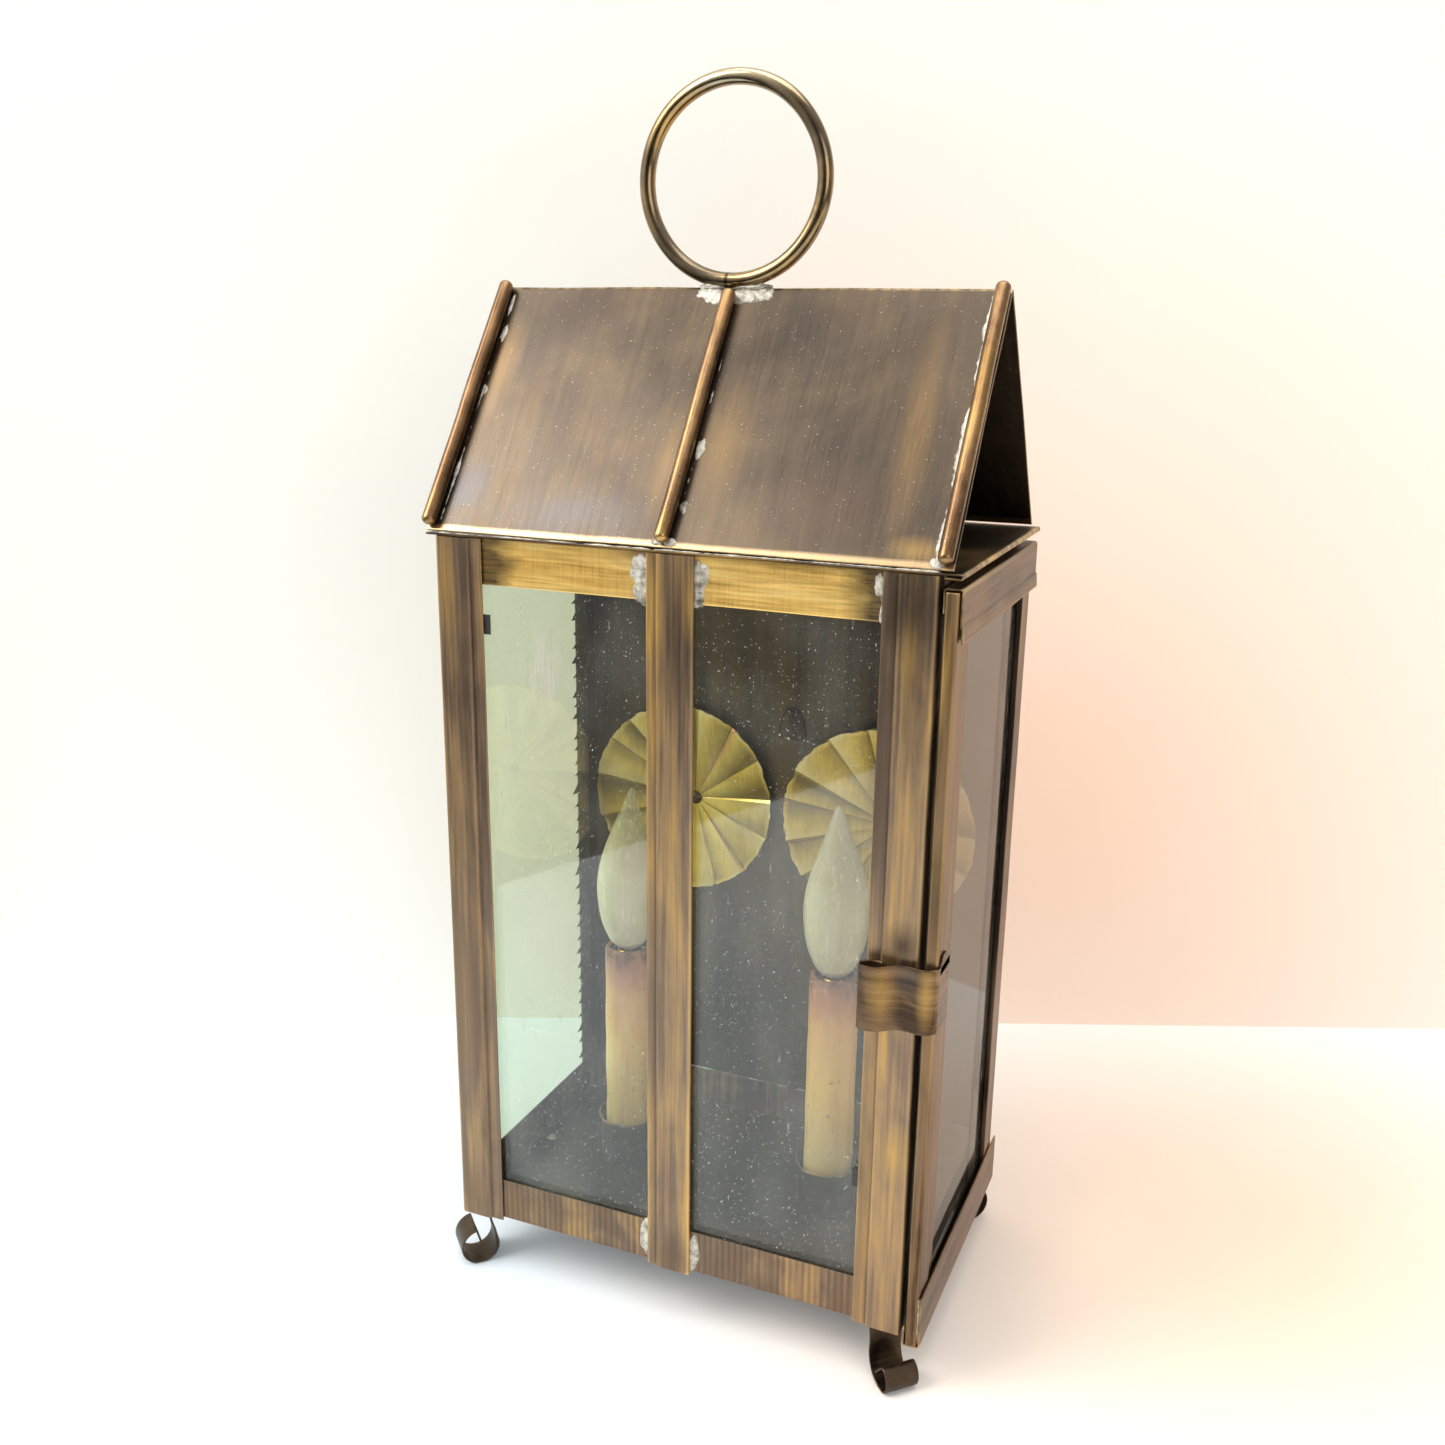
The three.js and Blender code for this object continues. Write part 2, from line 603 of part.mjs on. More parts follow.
// ---- door ----------------------------------------------------------------------------
const DOOR_RAIL_FACE = DOOR_OUTER + GAP + SHEET / 2;
const DOOR_STILE_TOP = DOOR_TOP - SHEET - GAP;
const DOOR_STILE_BOTTOM = DOOR_BOTTOM + SHEET + GAP;
const REAR_STILE = 64; // rear face of the rear stile

function addDoorStiles() {
  const inner = DOOR_INNER + SHEET / 2;
  const outer = DOOR_OUTER - SHEET / 2;
  const front = DOOR_FRONT + SHEET / 2;
  const seam = DOOR_FRONT + BAND;
  const frontPath = [
    [inner, front + 9],
    [inner, front],
    [outer, front],
    [outer, seam - 0.2],
    [outer - LIP_STEP, seam + 0.2],
    [outer - LIP_STEP, seam + 9],
  ];
  add("door_front_stile", upright(sheetOutline(frontPath), DOOR_STILE_BOTTOM, DOOR_STILE_TOP), antique);

  const rear = REAR_STILE - SHEET / 2;
  const rearSeat = outer - 1.6;
  const rearPath = [
    [inner, rear - 9],
    [inner, rear],
    [outer, rear],
    [outer, REAR_STILE - BAND],
    [rearSeat, REAR_STILE - BAND],
  ];
  add("door_rear_stile", upright(sheetOutline(rearPath), DOOR_STILE_BOTTOM, DOOR_STILE_TOP), antique);
}

// The rails are channels that close over the ends of the stiles and the glass.
function addDoorRails() {
  const inner = DOOR_INNER - GAP - SHEET / 2;
  const top = DOOR_TOP - SHEET / 2;
  const crease = DOOR_TOP - 15;
  const topSection = sheetOutline([
    [inner, DOOR_TOP - 10],
    [inner, top],
    [DOOR_RAIL_FACE, top],
    [DOOR_RAIL_FACE, crease],
    [DOOR_RAIL_FACE + 0.6, crease - 0.6],
    [DOOR_RAIL_FACE + 1, crease - 6.6],
  ]);
  add("door_top_rail", alongY(topSection, DOOR_FRONT + 2, 69.5), antique);

  const bottom = DOOR_BOTTOM + SHEET / 2;
  const bottomSection = sheetOutline([
    [DOOR_RAIL_FACE, DOOR_BOTTOM + 25.8],
    [DOOR_RAIL_FACE, bottom],
    [inner, bottom],
    [inner, DOOR_BOTTOM + 10],
  ]);
  add("door_bottom_rail", alongY(bottomSection, DOOR_FRONT + 0.2, 71), antique);
}

function addDoorGlass() {
  const outer = DOOR_OUTER - 2.4;
  const rear = REAR_STILE - SHEET - GAP;
  const front = DOOR_FRONT + SHEET + GAP;
  add("door_glass", block(outer - DOOR_GLASS, outer, front, rear, DOOR_STILE_BOTTOM, DOOR_STILE_TOP), pane);
}

const HINGE_AXIS = { x: 118.8, y: 74.2 };
const KNUCKLE = { outer: 2.4, bore: 1.3, length: 11 };

// Two loose-pin hinges: a leaf on the back panel's side, a leaf on the door and a domed pin.
function addHinges() {
  for (const { place, z } of HINGES) {
    const barrel = (low) =>
      rod(KNUCKLE.outer, low, low + KNUCKLE.length, 20).translate(HINGE_AXIS.x, HINGE_AXIS.y, 0);
    const bore = rod(KNUCKLE.bore, z - 5, z + 2 * KNUCKLE.length + 8, 16).translate(HINGE_AXIS.x, HINGE_AXIS.y, 0);
    const bodyFace = HALF_WIDTH + GAP + SHEET / 2;
    const bodyLeaf = sheetOutline([
      [bodyFace, HALF_DEPTH - 18],
      [bodyFace, HINGE_AXIS.y],
      [HINGE_AXIS.x, HINGE_AXIS.y],
    ]);
    const bodyPiece = join(upright(bodyLeaf, z, z + KNUCKLE.length), barrel(z));
    add("hinge_leaf_body_" + place, cut(bodyPiece, bore), antique);

    const doorFace = DOOR_INNER - GAP - SHEET / 2;
    const doorLeaf = sheetOutline([
      [doorFace, REAR_STILE - 10],
      [doorFace, REAR_STILE + 4],
      [HINGE_AXIS.x - 0.6, HINGE_AXIS.y - 1],
    ]);
    const doorLow = z + KNUCKLE.length + 0.4;
    const doorPiece = join(upright(doorLeaf, doorLow, doorLow + KNUCKLE.length), barrel(doorLow));
    add("hinge_leaf_door_" + place, cut(doorPiece, bore), antique);

    const pinTop = doorLow + KNUCKLE.length + 0.4;
    const pin = [[0, z - 2], [1.15, z - 1.6], [1.15, pinTop], [2.3, pinTop], [2.1, pinTop + 1.2], [1.2, pinTop + 1.9], [0, pinTop + 2.1]];
    add("hinge_pin_" + place, turned(pin, 16).translate(HINGE_AXIS.x, HINGE_AXIS.y, 0), antique);
  }
}

// A spring strip wraps the door's front corner, waves over the post and ends in a rolled loop.
function addLatch() {
  const low = 180.2;
  const high = 209.8;
  const droop = 0.066; // the free end hangs a little lower than the corner
  const thin = 0.7;
  const side = DOOR_OUTER + GAP + thin / 2;
  const rest = -HALF_DEPTH - GAP - thin / 2;
  const strip = [
    [side, DOOR_FRONT + BAND],
    [side, DOOR_FRONT - 1],
    [122, -77.8],
    [119, -78.9],
    [115, -78.1],
    [110.5, -77.1],
    [106, -77.5],
    [102, -80],
  ];
  const loop = { x: 96.2, y: -78.2, long: 5.6, short: 3.45 };
  const steps = 12;
  for (let i = 0; i < steps; i++) {
    const angle = -1.2 - (4.2 * i) / (steps - 1);
    strip.push([loop.x + loop.long * Math.cos(angle), loop.y + loop.short * Math.sin(angle)]);
  }
  const lowest = Math.max(...strip.map(([x, y]) => (x < HALF_WIDTH ? y : -HALF_DEPTH * 2)));
  if (lowest > rest) throw new Error("the latch reaches into the post");
  const tab = shapeOf([
    [DOOR_FRONT + 1, high - 4],
    [DOOR_FRONT + BAND, high - 4],
    [DOOR_FRONT + BAND, high],
    [DOOR_FRONT + 10, high + 4],
    [DOOR_FRONT + 5, high + 4],
    [DOOR_FRONT + 1, high],
  ]);
  const wrap = upright(sheetOutline(strip, thin), low, high);
  const shear = new THREE.Matrix4().set(1, 0, 0, 0, 0, 1, 0, 0, droop, 0, 1, -droop * side, 0, 0, 0, 1);
  wrap.applyMatrix4(shear);
  add("latch_spring", join(wrap, alongX(tab, side - thin / 2, side + thin / 2)), brightBrass);
}

// ---- assembly ------------------------------------------------------------------------
addFloorPan();
addPosts();
addMuntin();
addHeaders();
addBackPanel();
addHangerCap();
addPanes();
addGlassTabs();
addRoofPlate();
addRoofSheet();
addRoofRods();
addRing();
addFeet();
CANDLES.forEach(addReflector);
CANDLES.forEach(addCup);
CANDLES.forEach(addSleeve);
CANDLES.forEach(addSocket);
CANDLES.forEach(addBulb);
addWiring();
addDoorStiles();
addDoorRails();
addDoorGlass();
addHinges();
addLatch();

export default lantern;
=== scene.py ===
"""Looks of the gabled brass lantern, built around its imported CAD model. Blender 4.5, metres, +Z up."""
import json
import math
import random

import bmesh
import bpy
from mathutils import Matrix, Vector, noise


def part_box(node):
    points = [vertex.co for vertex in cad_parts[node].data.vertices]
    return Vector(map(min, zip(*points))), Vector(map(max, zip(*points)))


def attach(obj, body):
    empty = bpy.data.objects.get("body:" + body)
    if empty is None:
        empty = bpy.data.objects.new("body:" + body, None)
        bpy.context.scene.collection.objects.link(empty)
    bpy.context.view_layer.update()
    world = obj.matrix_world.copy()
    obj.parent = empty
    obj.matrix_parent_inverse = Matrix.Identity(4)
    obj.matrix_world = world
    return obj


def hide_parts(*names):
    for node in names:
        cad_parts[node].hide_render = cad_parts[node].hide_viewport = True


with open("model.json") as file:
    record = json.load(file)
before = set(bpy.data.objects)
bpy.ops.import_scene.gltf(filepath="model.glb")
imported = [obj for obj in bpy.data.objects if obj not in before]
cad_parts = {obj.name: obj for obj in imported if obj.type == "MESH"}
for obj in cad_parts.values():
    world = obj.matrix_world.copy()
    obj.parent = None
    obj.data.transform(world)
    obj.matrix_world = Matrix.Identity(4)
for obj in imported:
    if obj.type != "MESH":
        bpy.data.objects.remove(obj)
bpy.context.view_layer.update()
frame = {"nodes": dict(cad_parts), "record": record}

MM = 0.001
SHEET = 0.9  # thickness of the brass sheet, mm
HALF = SHEET / 2
BAND = 16.2  # width of a frame strip's flat band, mm
LIP = 6.6  # width of the lip beside the band
MUNTIN_LIP = 5.1
LIP_STEP = 1.15  # how far a lip is set back
RING_WIRE = 3.5  # half the thickness of the ring's wire
LATCH_SHEET = 0.7
RIDGE = 480.0  # height of the solder on the ridge
END_THICKNESS = 0.55  # share of the thickness left at a worn edge
LATCH_DROOP = 0.066  # the latch's free end hangs a little lower than its corner
PLEATS = 15
RIB_PITCH = 0.0031  # roller marks on the bottom rail, m
GLASS_IOR = 1.52
SIDES = ("left", "right")

noise.seed_set(11)  # noise_vector starts from the clock otherwise

BODIES = {node: body for body, nodes in frame["record"]["behaviour"]["bodies"].items() for node in nodes}
SLOTS = {part["node"]: part["material_slot"] for part in frame["record"]["subparts"]}


def box_mm(node):
    """Lowest and highest corner of a CAD node, in millimetres."""
    low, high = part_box(node)
    return Vector(low) / MM, Vector(high) / MM


def round_mm(node):
    """Middle of the foot of an upright round CAD node, its radius and its height, in millimetres."""
    low, high = box_mm(node)
    return Vector(((low.x + high.x) / 2, (low.y + high.y) / 2, low.z)), (high.x - low.x) / 2, high.z - low.z


# ---- Shader graphs ----
class Graph:
    """The node tree of a new material, or of a world, with short calls for the nodes used here."""

    def __init__(self, name, world=None):
        self.owner = world or bpy.data.materials.new(name)
        self.owner.use_nodes = True
        self.tree = self.owner.node_tree
        self.tree.nodes.clear()
        self.output = self.node("ShaderNodeOutputWorld" if world else "ShaderNodeOutputMaterial")
        self.place = self.node("ShaderNodeTexCoord").outputs["Generated" if world else "Object"]

    def node(self, kind, inputs=None, **settings):
        made = self.tree.nodes.new(kind)
        for key, value in settings.items():
            setattr(made, key, value)
        for key, value in (inputs or {}).items():
            self.feed(made.inputs[key], value)
        return made

    def feed(self, socket, value):
        if isinstance(value, bpy.types.NodeSocket):
            self.tree.links.new(value, socket)
        else:
            socket.default_value = value

    def math(self, operation, a, b=0.0, c=0.0, clamp=False):
        made = self.node("ShaderNodeMath", {0: a, 1: b, 2: c}, operation=operation, use_clamp=clamp)
        return made.outputs[0]

    def times(self, a, b):
        return self.math("MULTIPLY", a, b)

    def scaled(self, value, factor, plus):
        return self.math("MULTIPLY_ADD", value, factor, plus)

    def vector(self, operation, a, b):
        made = self.node("ShaderNodeVectorMath", {0: a, 1: b}, operation=operation)
        return made.outputs["Value" if operation in ("LENGTH", "DISTANCE", "DOT_PRODUCT") else "Vector"]

    def away(self, centre, radii):
        """Distance from a centre as a share of the radii, in metres."""
        offset = self.vector("SUBTRACT", self.place, centre)
        return self.vector("LENGTH", self.vector("DIVIDE", offset, radii), (0, 0, 0))

    def mix(self, share, a, b):
        made = self.node("ShaderNodeMix", data_type="RGBA")
        for socket, value in ((0, share), (6, a), (7, b)):
            self.feed(made.inputs[socket], (*value, 1) if isinstance(value, tuple) else value)
        return made.outputs[2]

    def noise(self, scale, detail=3.0, roughness=0.55, shift=(0, 0, 0), distortion=0.0):
        mapped = self.node("ShaderNodeMapping", {"Vector": self.place, "Scale": scale, "Location": shift})
        sockets = {"Vector": mapped.outputs[0], "Scale": 1.0, "Detail": detail}
        sockets.update({"Roughness": roughness, "Distortion": distortion})
        return self.node("ShaderNodeTexNoise", sockets).outputs["Fac"]

    def ramp(self, value, stops):
        made = self.node("ShaderNodeValToRGB", {"Fac": value})
        points = made.color_ramp.elements
        while len(points) < len(stops):
            points.new(0.5)
        for point, (position, colour) in zip(points, stops):
            point.position = position
            point.color = (*colour, 1.0)
        return made.outputs["Color"]

    def window(self, value, low, high, to_low=0.0, to_high=1.0):
        sockets = {"Value": value, "From Min": low, "From Max": high, "To Min": to_low, "To Max": to_high}
        return self.node("ShaderNodeMapRange", sockets, clamp=True).outputs[0]

    def axis(self, name):
        return self.node("ShaderNodeSeparateXYZ", {0: self.place}).outputs[name]

    def geometry(self, name):
        return self.node("ShaderNodeNewGeometry").outputs[name]

    def attribute(self, name):
        return self.node("ShaderNodeAttribute", attribute_name=name).outputs["Fac"]

    def bump(self, height, strength, distance, normal=None):
        sockets = {"Height": height, "Strength": strength, "Distance": distance}
        if normal:
            sockets["Normal"] = normal
        return self.node("ShaderNodeBump", sockets).outputs[0]

    def shader(self, kind, sockets):
        return self.node("ShaderNode" + kind, sockets).outputs[0]

    def finish(self, shader):
        self.tree.links.new(shader, self.output.inputs["Surface"])
        return self.owner

    def principled(self, sockets):
        return self.finish(self.shader("BsdfPrincipled", sockets))


UMBER = (0.055, 0.030, 0.018)
BROWN = (0.205, 0.128, 0.072)
PLUM = (0.200, 0.142, 0.103)
TAN = (0.365, 0.240, 0.128)
GOLD = (0.700, 0.420, 0.110)
PALE_GOLD = (0.950, 0.660, 0.260)
DUST = (0.62, 0.57, 0.48)
# near black for dark seams, and for painted shade inside folds and creases
SEAM_AND_CREASE_SHADE = (0.025, 0.016, 0.012)
TONE_PLACES = (0.30, 0.44, 0.54, 0.64, 0.80)


def laid_over(g, colour, marks, clouds, strokes):
    """The colour with its marks over it, and how much painted gap shade each spot has (None if no near-black
    gap mark is there).
    """
    gap_shade = None
    for centre, radii, tint, strength in marks:
        away = g.away(Vector(centre) * MM, Vector(radii) * MM)
        away = g.math("ADD", away, g.scaled(clouds, 1.6, -0.8))
        share = g.math("MULTIPLY", g.window(away, 1.1, 0.15), strength, clamp=True)
        colour = g.mix(g.times(share, g.window(strokes, 0.2, 0.7, 0.6, 1.0)), colour, tint)
        # the near-black gap marks are painted shade; their share also dims the metal and its reflection
        if tint is GAP_SHADE:
            gap_shade = g.math("MAXIMUM", gap_shade, share) if gap_shade else share
    return colour, gap_shade


def brass(name, grain, cloud, tones=(UMBER, BROWN, PLUM, TAN, GOLD), lift=0.0, gold=0.0, rough=(0.28, 0.46),
          specks=0.0, shift=(0, 0, 0), cross=None, metal=0.95, marks=(), ribs=0.0, fade=None, brush=1.0,
          level=None):
    """Aged brass: cloudy patina, brush strokes along the grain, bright edges that are wear with a painted
    highlight, dark seams, and painted shade inside folds.

    marks are patches (centre mm, radii mm, colour, strength); ribs is the strength of the roller marks;
    fade is (height mm, height mm, colour): the brass goes over to that colour between the two heights;
    brush scales the contrast of the strokes; level is a colour for faces that look straight up.
    """
    g = Graph(name)
    along = Vector(shift)
    strokes = g.noise(grain, 4.0, 0.62, along)
    broad = g.noise(tuple(s * 0.22 for s in grain), 2.0, 0.5, along + Vector((3, 0, 7)))
    clouds = g.noise(cloud, 4.0, 0.6, along + Vector((9, 2, 0)), 0.6)
    tone = g.scaled(strokes, 0.30 * brush, lift - 0.05 + 0.325 * (1 - brush))
    tone = g.scaled(broad, 0.35 * brush, tone)
    tone = g.scaled(clouds, 0.55, tone)
    if cross:
        hatch = g.noise(cross, 3.0, 0.6, along + Vector((5, 8, 1)))
        tone = g.scaled(hatch, 0.3, g.math("SUBTRACT", tone, 0.15))
    colour = g.ramp(tone, list(zip(TONE_PLACES, tones)))
    if gold:
        patches = g.window(g.noise(tuple(c * 0.8 for c in cloud), 3.0, 0.5, (4, 1, 6)), 0.5, 0.68)
        colour = g.mix(g.times(patches, gold), colour, GOLD)
    colour, gap_shade = laid_over(g, colour, marks, clouds, strokes)
    if ribs:
        phase = g.scaled(clouds, 5.0, g.times(g.axis("X"), 2 * math.pi / RIB_PITCH))
        wave = g.scaled(g.math("SINE", phase), 0.5, 0.5)
        front = g.window(g.axis("Y"), -0.066, -0.070, 0.0, ribs)
        colour = g.mix(g.times(wave, front), colour, UMBER)
    if fade:
        low, high, tint = fade
        reach = g.math("ADD", g.axis("Z"), g.scaled(clouds, 0.002, -0.001))
        colour = g.mix(g.window(reach, low * MM, high * MM, 0.0, 0.85), colour, tint)
    if level:
        facing = g.node("ShaderNodeSeparateXYZ", {0: g.geometry("Normal")}).outputs["Z"]
        colour = g.mix(g.window(facing, 0.7, 0.95, 0.0, 0.88), colour, level)
    worn = g.attribute("worn")
    # pale gold where the attribute is high: wear at the edges with a painted highlight, and a painted
    # highlight on the rods' outer side
    bright = g.times(g.window(worn, 0.35, 1.0), g.window(broad, 0.38, 0.62, 0.08, 0.50))
    metallic = metal
    # in the painted gap shade the bright edges, the metal and the reflection fade out
    if gap_shade:
        unshaded = g.math("SUBTRACT", 1.0, gap_shade)
        bright = g.times(bright, unshaded)
        metallic = g.times(unshaded, metal)
    colour = g.mix(bright, colour, PALE_GOLD)
    # darker where the attribute is below zero: dark seams, and painted shade inside folds and at the cups'
    # bottom
    colour = g.mix(g.times(g.window(worn, -0.05, -0.8), 0.8), colour, SEAM_AND_CREASE_SHADE)
    roughness = g.window(strokes, 0.3, 0.7, *rough)
    if specks:
        dots = g.window(g.noise((1500, 1500, 1500), 0.0, 0.4, (2, 2, 2)), 0.83 - specks * 0.02, 0.84)
        colour = g.mix(g.times(dots, 0.45), colour, DUST)
        metallic = g.math("SUBTRACT", metallic, g.times(dots, 0.6))
    waves = g.bump(g.noise((26, 26, 26), 2.0, 0.4, (1, 7, 3)), 0.35, 0.0012)
    surface = {
        "Base Color": colour,
        "Metallic": metallic,
        "Roughness": g.scaled(g.window(clouds, 0.35, 0.7), 0.08, roughness),
        "Normal": g.bump(strokes, 0.5, 0.00006, waves),
        "Coat Weight": 0.06,
        "Coat Roughness": 0.25,
    }
    # no reflection where the gap shade is painted
    if gap_shade:
        surface["Specular IOR Level"] = g.times(unshaded, 0.5)
    return g.principled(surface)


def reflector_brass():
    """Thin polished sheet, finely brushed up and down, with painted light and shade across each pleat and a
    brighter rim.
    """
    g = Graph("reflector_brass")
    strokes = g.noise((900, 900, 60), 3.0, 0.6)
    clouds = g.noise((30, 30, 30), 3.0, 0.6)
    tone = g.scaled(strokes, 0.35, g.times(clouds, 0.65))
    colour = g.ramp(tone, [(0.32, (0.49, 0.31, 0.05)), (0.5, (0.79, 0.54, 0.11)), (0.66, (0.99, 0.72, 0.20))])
    worn = g.attribute("worn")
    # painted light and shade across the pleats: pale gold where the attribute is high, dark brown where it is
    # low
    colour = g.mix(g.times(g.window(worn, 0.05, 0.9), 0.75), colour, (0.98, 0.80, 0.40))
    colour = g.mix(g.times(g.window(worn, 0.0, -0.8), 0.80), colour, (0.13, 0.085, 0.025))
    return g.principled({
        "Base Color": g.mix(g.attribute("copper"), colour, (0.85, 0.38, 0.14)),
        "Metallic": 0.9,
        "Roughness": g.window(strokes, 0.3, 0.7, 0.30, 0.45),
        "Normal": g.bump(strokes, 0.4, 0.00005),
    })


def solder_metal():
    """Dull white tin with crusty flux."""
    g = Graph("solder")
    lumps = g.noise((420, 420, 420), 4.0, 0.65)
    broad = g.noise((110, 110, 110), 2.0, 0.5, (3, 0, 5))
    tone = g.scaled(broad, 0.5, g.times(lumps, 0.5))
    return g.principled({
        "Base Color": g.ramp(tone, [
            (0.36, (0.13, 0.105, 0.075)),
            (0.46, (0.33, 0.30, 0.25)),
            (0.60, (0.60, 0.58, 0.51)),
        ]),
        "Metallic": g.window(lumps, 0.4, 0.65, 0.5, 0.1),
        "Roughness": g.window(broad, 0.35, 0.65, 0.3, 0.6),
        "Normal": g.bump(lumps, 0.7, 0.0003),
    })


def pane_glass(name, tint, waves=0.0004, shine=1.0, wiped=None):
    """Clear window glass with a faint colour, slow waves and a scatter of dust and fine scratches.

    wiped is (centre, radii) in metres of a patch where smears let the light through untinted.
    """
    g = Graph(name)
    ripple = g.bump(g.noise((9, 9, 5), 1.0, 0.3), 0.25, waves)
    colour = (*tint, 1)
    if wiped:
        smears = g.window(g.noise((10, 230, 30), 1.0, 0.5, (3, 1, 0), 0.8), 0.52, 0.62)
        colour = g.mix(g.times(g.window(g.away(*wiped), 1, 0.5), smears), colour[:3], (1, 1, 1))
    clear = g.shader("BsdfTransparent", {"Color": colour})
    mirror = g.shader("BsdfGlossy", {"Color": (shine, shine, shine, 1), "Roughness": 0.03, "Normal": ripple})
    ior = g.scaled(g.geometry("Backfacing"), 1 / GLASS_IOR - GLASS_IOR, GLASS_IOR)
    share = g.shader("Fresnel", {"IOR": ior, "Normal": ripple})
    glass = g.shader("MixShader", {0: share, 1: clear, 2: mirror})
    dots = g.window(g.noise((1300, 1300, 1300), 0.0, 0.5, (7, 3, 1)), 0.81, 0.83)
    scratch = g.window(g.noise((500, 500, 90), 0.0, 0.5, (1, 4, 2), 0.1), 0.83, 0.85)
    film = g.window(g.noise((40, 40, 25), 1.0, 0.6, (6, 2, 9)), 0.4, 0.8, 0.006, 0.034)
    dirt = g.math("MAXIMUM", g.times(dots, 0.5), g.times(scratch, 0.16))
    dirt = g.math("MAXIMUM", dirt, film)
    grit = g.shader("BsdfDiffuse", {"Color": (0.85, 0.86, 0.80, 1)})
    return g.finish(g.shader("MixShader", {0: dirt, 1: glass, 2: grit}))


def frosted_glass(name, tip_alpha):
    """Etched lamp glass: milky, softly see-through near the tip, with faint vertical drips."""
    g = Graph(name)
    drips = g.noise((500, 500, 18), 3.0, 0.6)
    mottle = g.noise((60, 60, 30), 3.0, 0.5, (4, 4, 4))
    alpha = g.window(g.attribute("tip"), 0.48, 0.85, 0.88, tip_alpha)
    return g.principled({
        "Base Color": g.ramp(mottle, [(0.35, (0.78, 0.68, 0.42)), (0.65, (0.94, 0.85, 0.56))]),
        "Roughness": g.window(drips, 0.35, 0.7, 0.26, 0.42),
        "IOR": 1.48,
        "Alpha": g.math("ADD", alpha, g.window(drips, 0.55, 0.75, 0.0, 0.30), clamp=True),
        "Subsurface Weight": 0.5,
        "Subsurface Radius": (1.0, 1.0, 0.9),
        "Subsurface Scale": 0.006,
        "Coat Weight": 0.25,
        "Coat Roughness": 0.12,
        "Normal": g.bump(drips, 0.2, 0.0001),
    })


def candle_wax():
    """Old wax-coated candle cover: cream below, pinkish tan above, darkening to near black round the top."""
    g = Graph("candle_wax")
    streaks = g.noise((240, 240, 24), 4.0, 0.6, (2, 5, 1))
    mottle = g.noise((70, 70, 40), 3.0, 0.6, (8, 1, 4))
    level = g.math("ADD", g.attribute("height"), g.scaled(mottle, 0.22, -0.11))
    colour = g.ramp(level, [
        (0.00, (0.55, 0.42, 0.18)),
        (0.22, (0.80, 0.60, 0.23)),
        (0.55, (0.92, 0.60, 0.21)),
        (0.80, (0.78, 0.42, 0.16)),
        (0.93, (0.45, 0.20, 0.11)),
        (0.975, (0.18, 0.075, 0.045)),
    ])
    colour = g.mix(g.window(streaks, 0.5, 0.72, 0.0, 0.5), colour, (0.62, 0.30, 0.17))
    speck = g.window(g.noise((420, 420, 300), 1.0, 0.5), 0.72, 0.76)
    return g.principled({
        "Base Color": g.mix(g.times(speck, 0.5), colour, (0.3, 0.17, 0.09)),
        "Roughness": g.window(mottle, 0.3, 0.7, 0.36, 0.55),
        "Subsurface Weight": 0.35,
        "Subsurface Radius": (1.0, 0.55, 0.25),
        "Subsurface Scale": 0.004,
        "Coat Weight": 0.15,
        "Coat Roughness": 0.3,
        "Normal": g.bump(mottle, 0.3, 0.0006, g.bump(streaks, 0.15, 0.0003)),
    })


def plastic(name, colour):
    """Moulded thermoset plastic with a fine orange-peel skin."""
    g = Graph(name)
    peel = g.noise((900, 900, 900), 2.0, 0.5)
    return g.principled({
        "Base Color": g.mix(g.noise((60, 60, 60)), colour, tuple(c * 2.2 + 0.01 for c in colour)),
        "Roughness": g.window(peel, 0.3, 0.7, 0.38, 0.52),
        "Normal": g.bump(peel, 0.25, 0.0001),
    })


ACROSS_X = (700, 700, 22)  # strokes that run up a vertical strip
ROOF_TONES = ((0.033, 0.026, 0.022), (0.052, 0.040, 0.031), (0.067, 0.051, 0.038), (0.092, 0.067, 0.043),
              (0.135, 0.091, 0.046))
RAIL_TONES = ((0.32, 0.17, 0.05), (0.62, 0.36, 0.09), (0.90, 0.56, 0.15), (1.0, 0.66, 0.20),
              (1.0, 0.76, 0.30))
DARK_TONES = ((0.026, 0.018, 0.012), (0.052, 0.036, 0.023), (0.070, 0.048, 0.031), (0.105, 0.070, 0.040),
              (0.220, 0.140, 0.055))
RING_TONES = ((0.065, 0.050, 0.036), (0.135, 0.100, 0.062), (0.175, 0.135, 0.088), (0.290, 0.200, 0.100),
              (0.450, 0.310, 0.130))
ROD_TONES = ((0.060, 0.032, 0.018), (0.140, 0.074, 0.034), (0.190, 0.108, 0.054), (0.290, 0.170, 0.078),
             (0.520, 0.320, 0.120))
RUBBED = (0.62, 0.38, 0.10)  # brass polished by handling
BRONZE = (0.24, 0.145, 0.055)
PLUMMY = (0.080, 0.055, 0.043)
# dark brown-black: smoke stains, and painted shade by the roof's ridge and above the latch
SMOKE_AND_SHADE = (0.045, 0.032, 0.026)
# bluish grey: painted reflection of the pale floor
BLUISH_REFLECTION = (0.080, 0.079, 0.084)
SLATE = (0.060, 0.066, 0.064)
# near black: painted shade in the dark gaps beside the door
GAP_SHADE = (0.005, 0.004, 0.004)
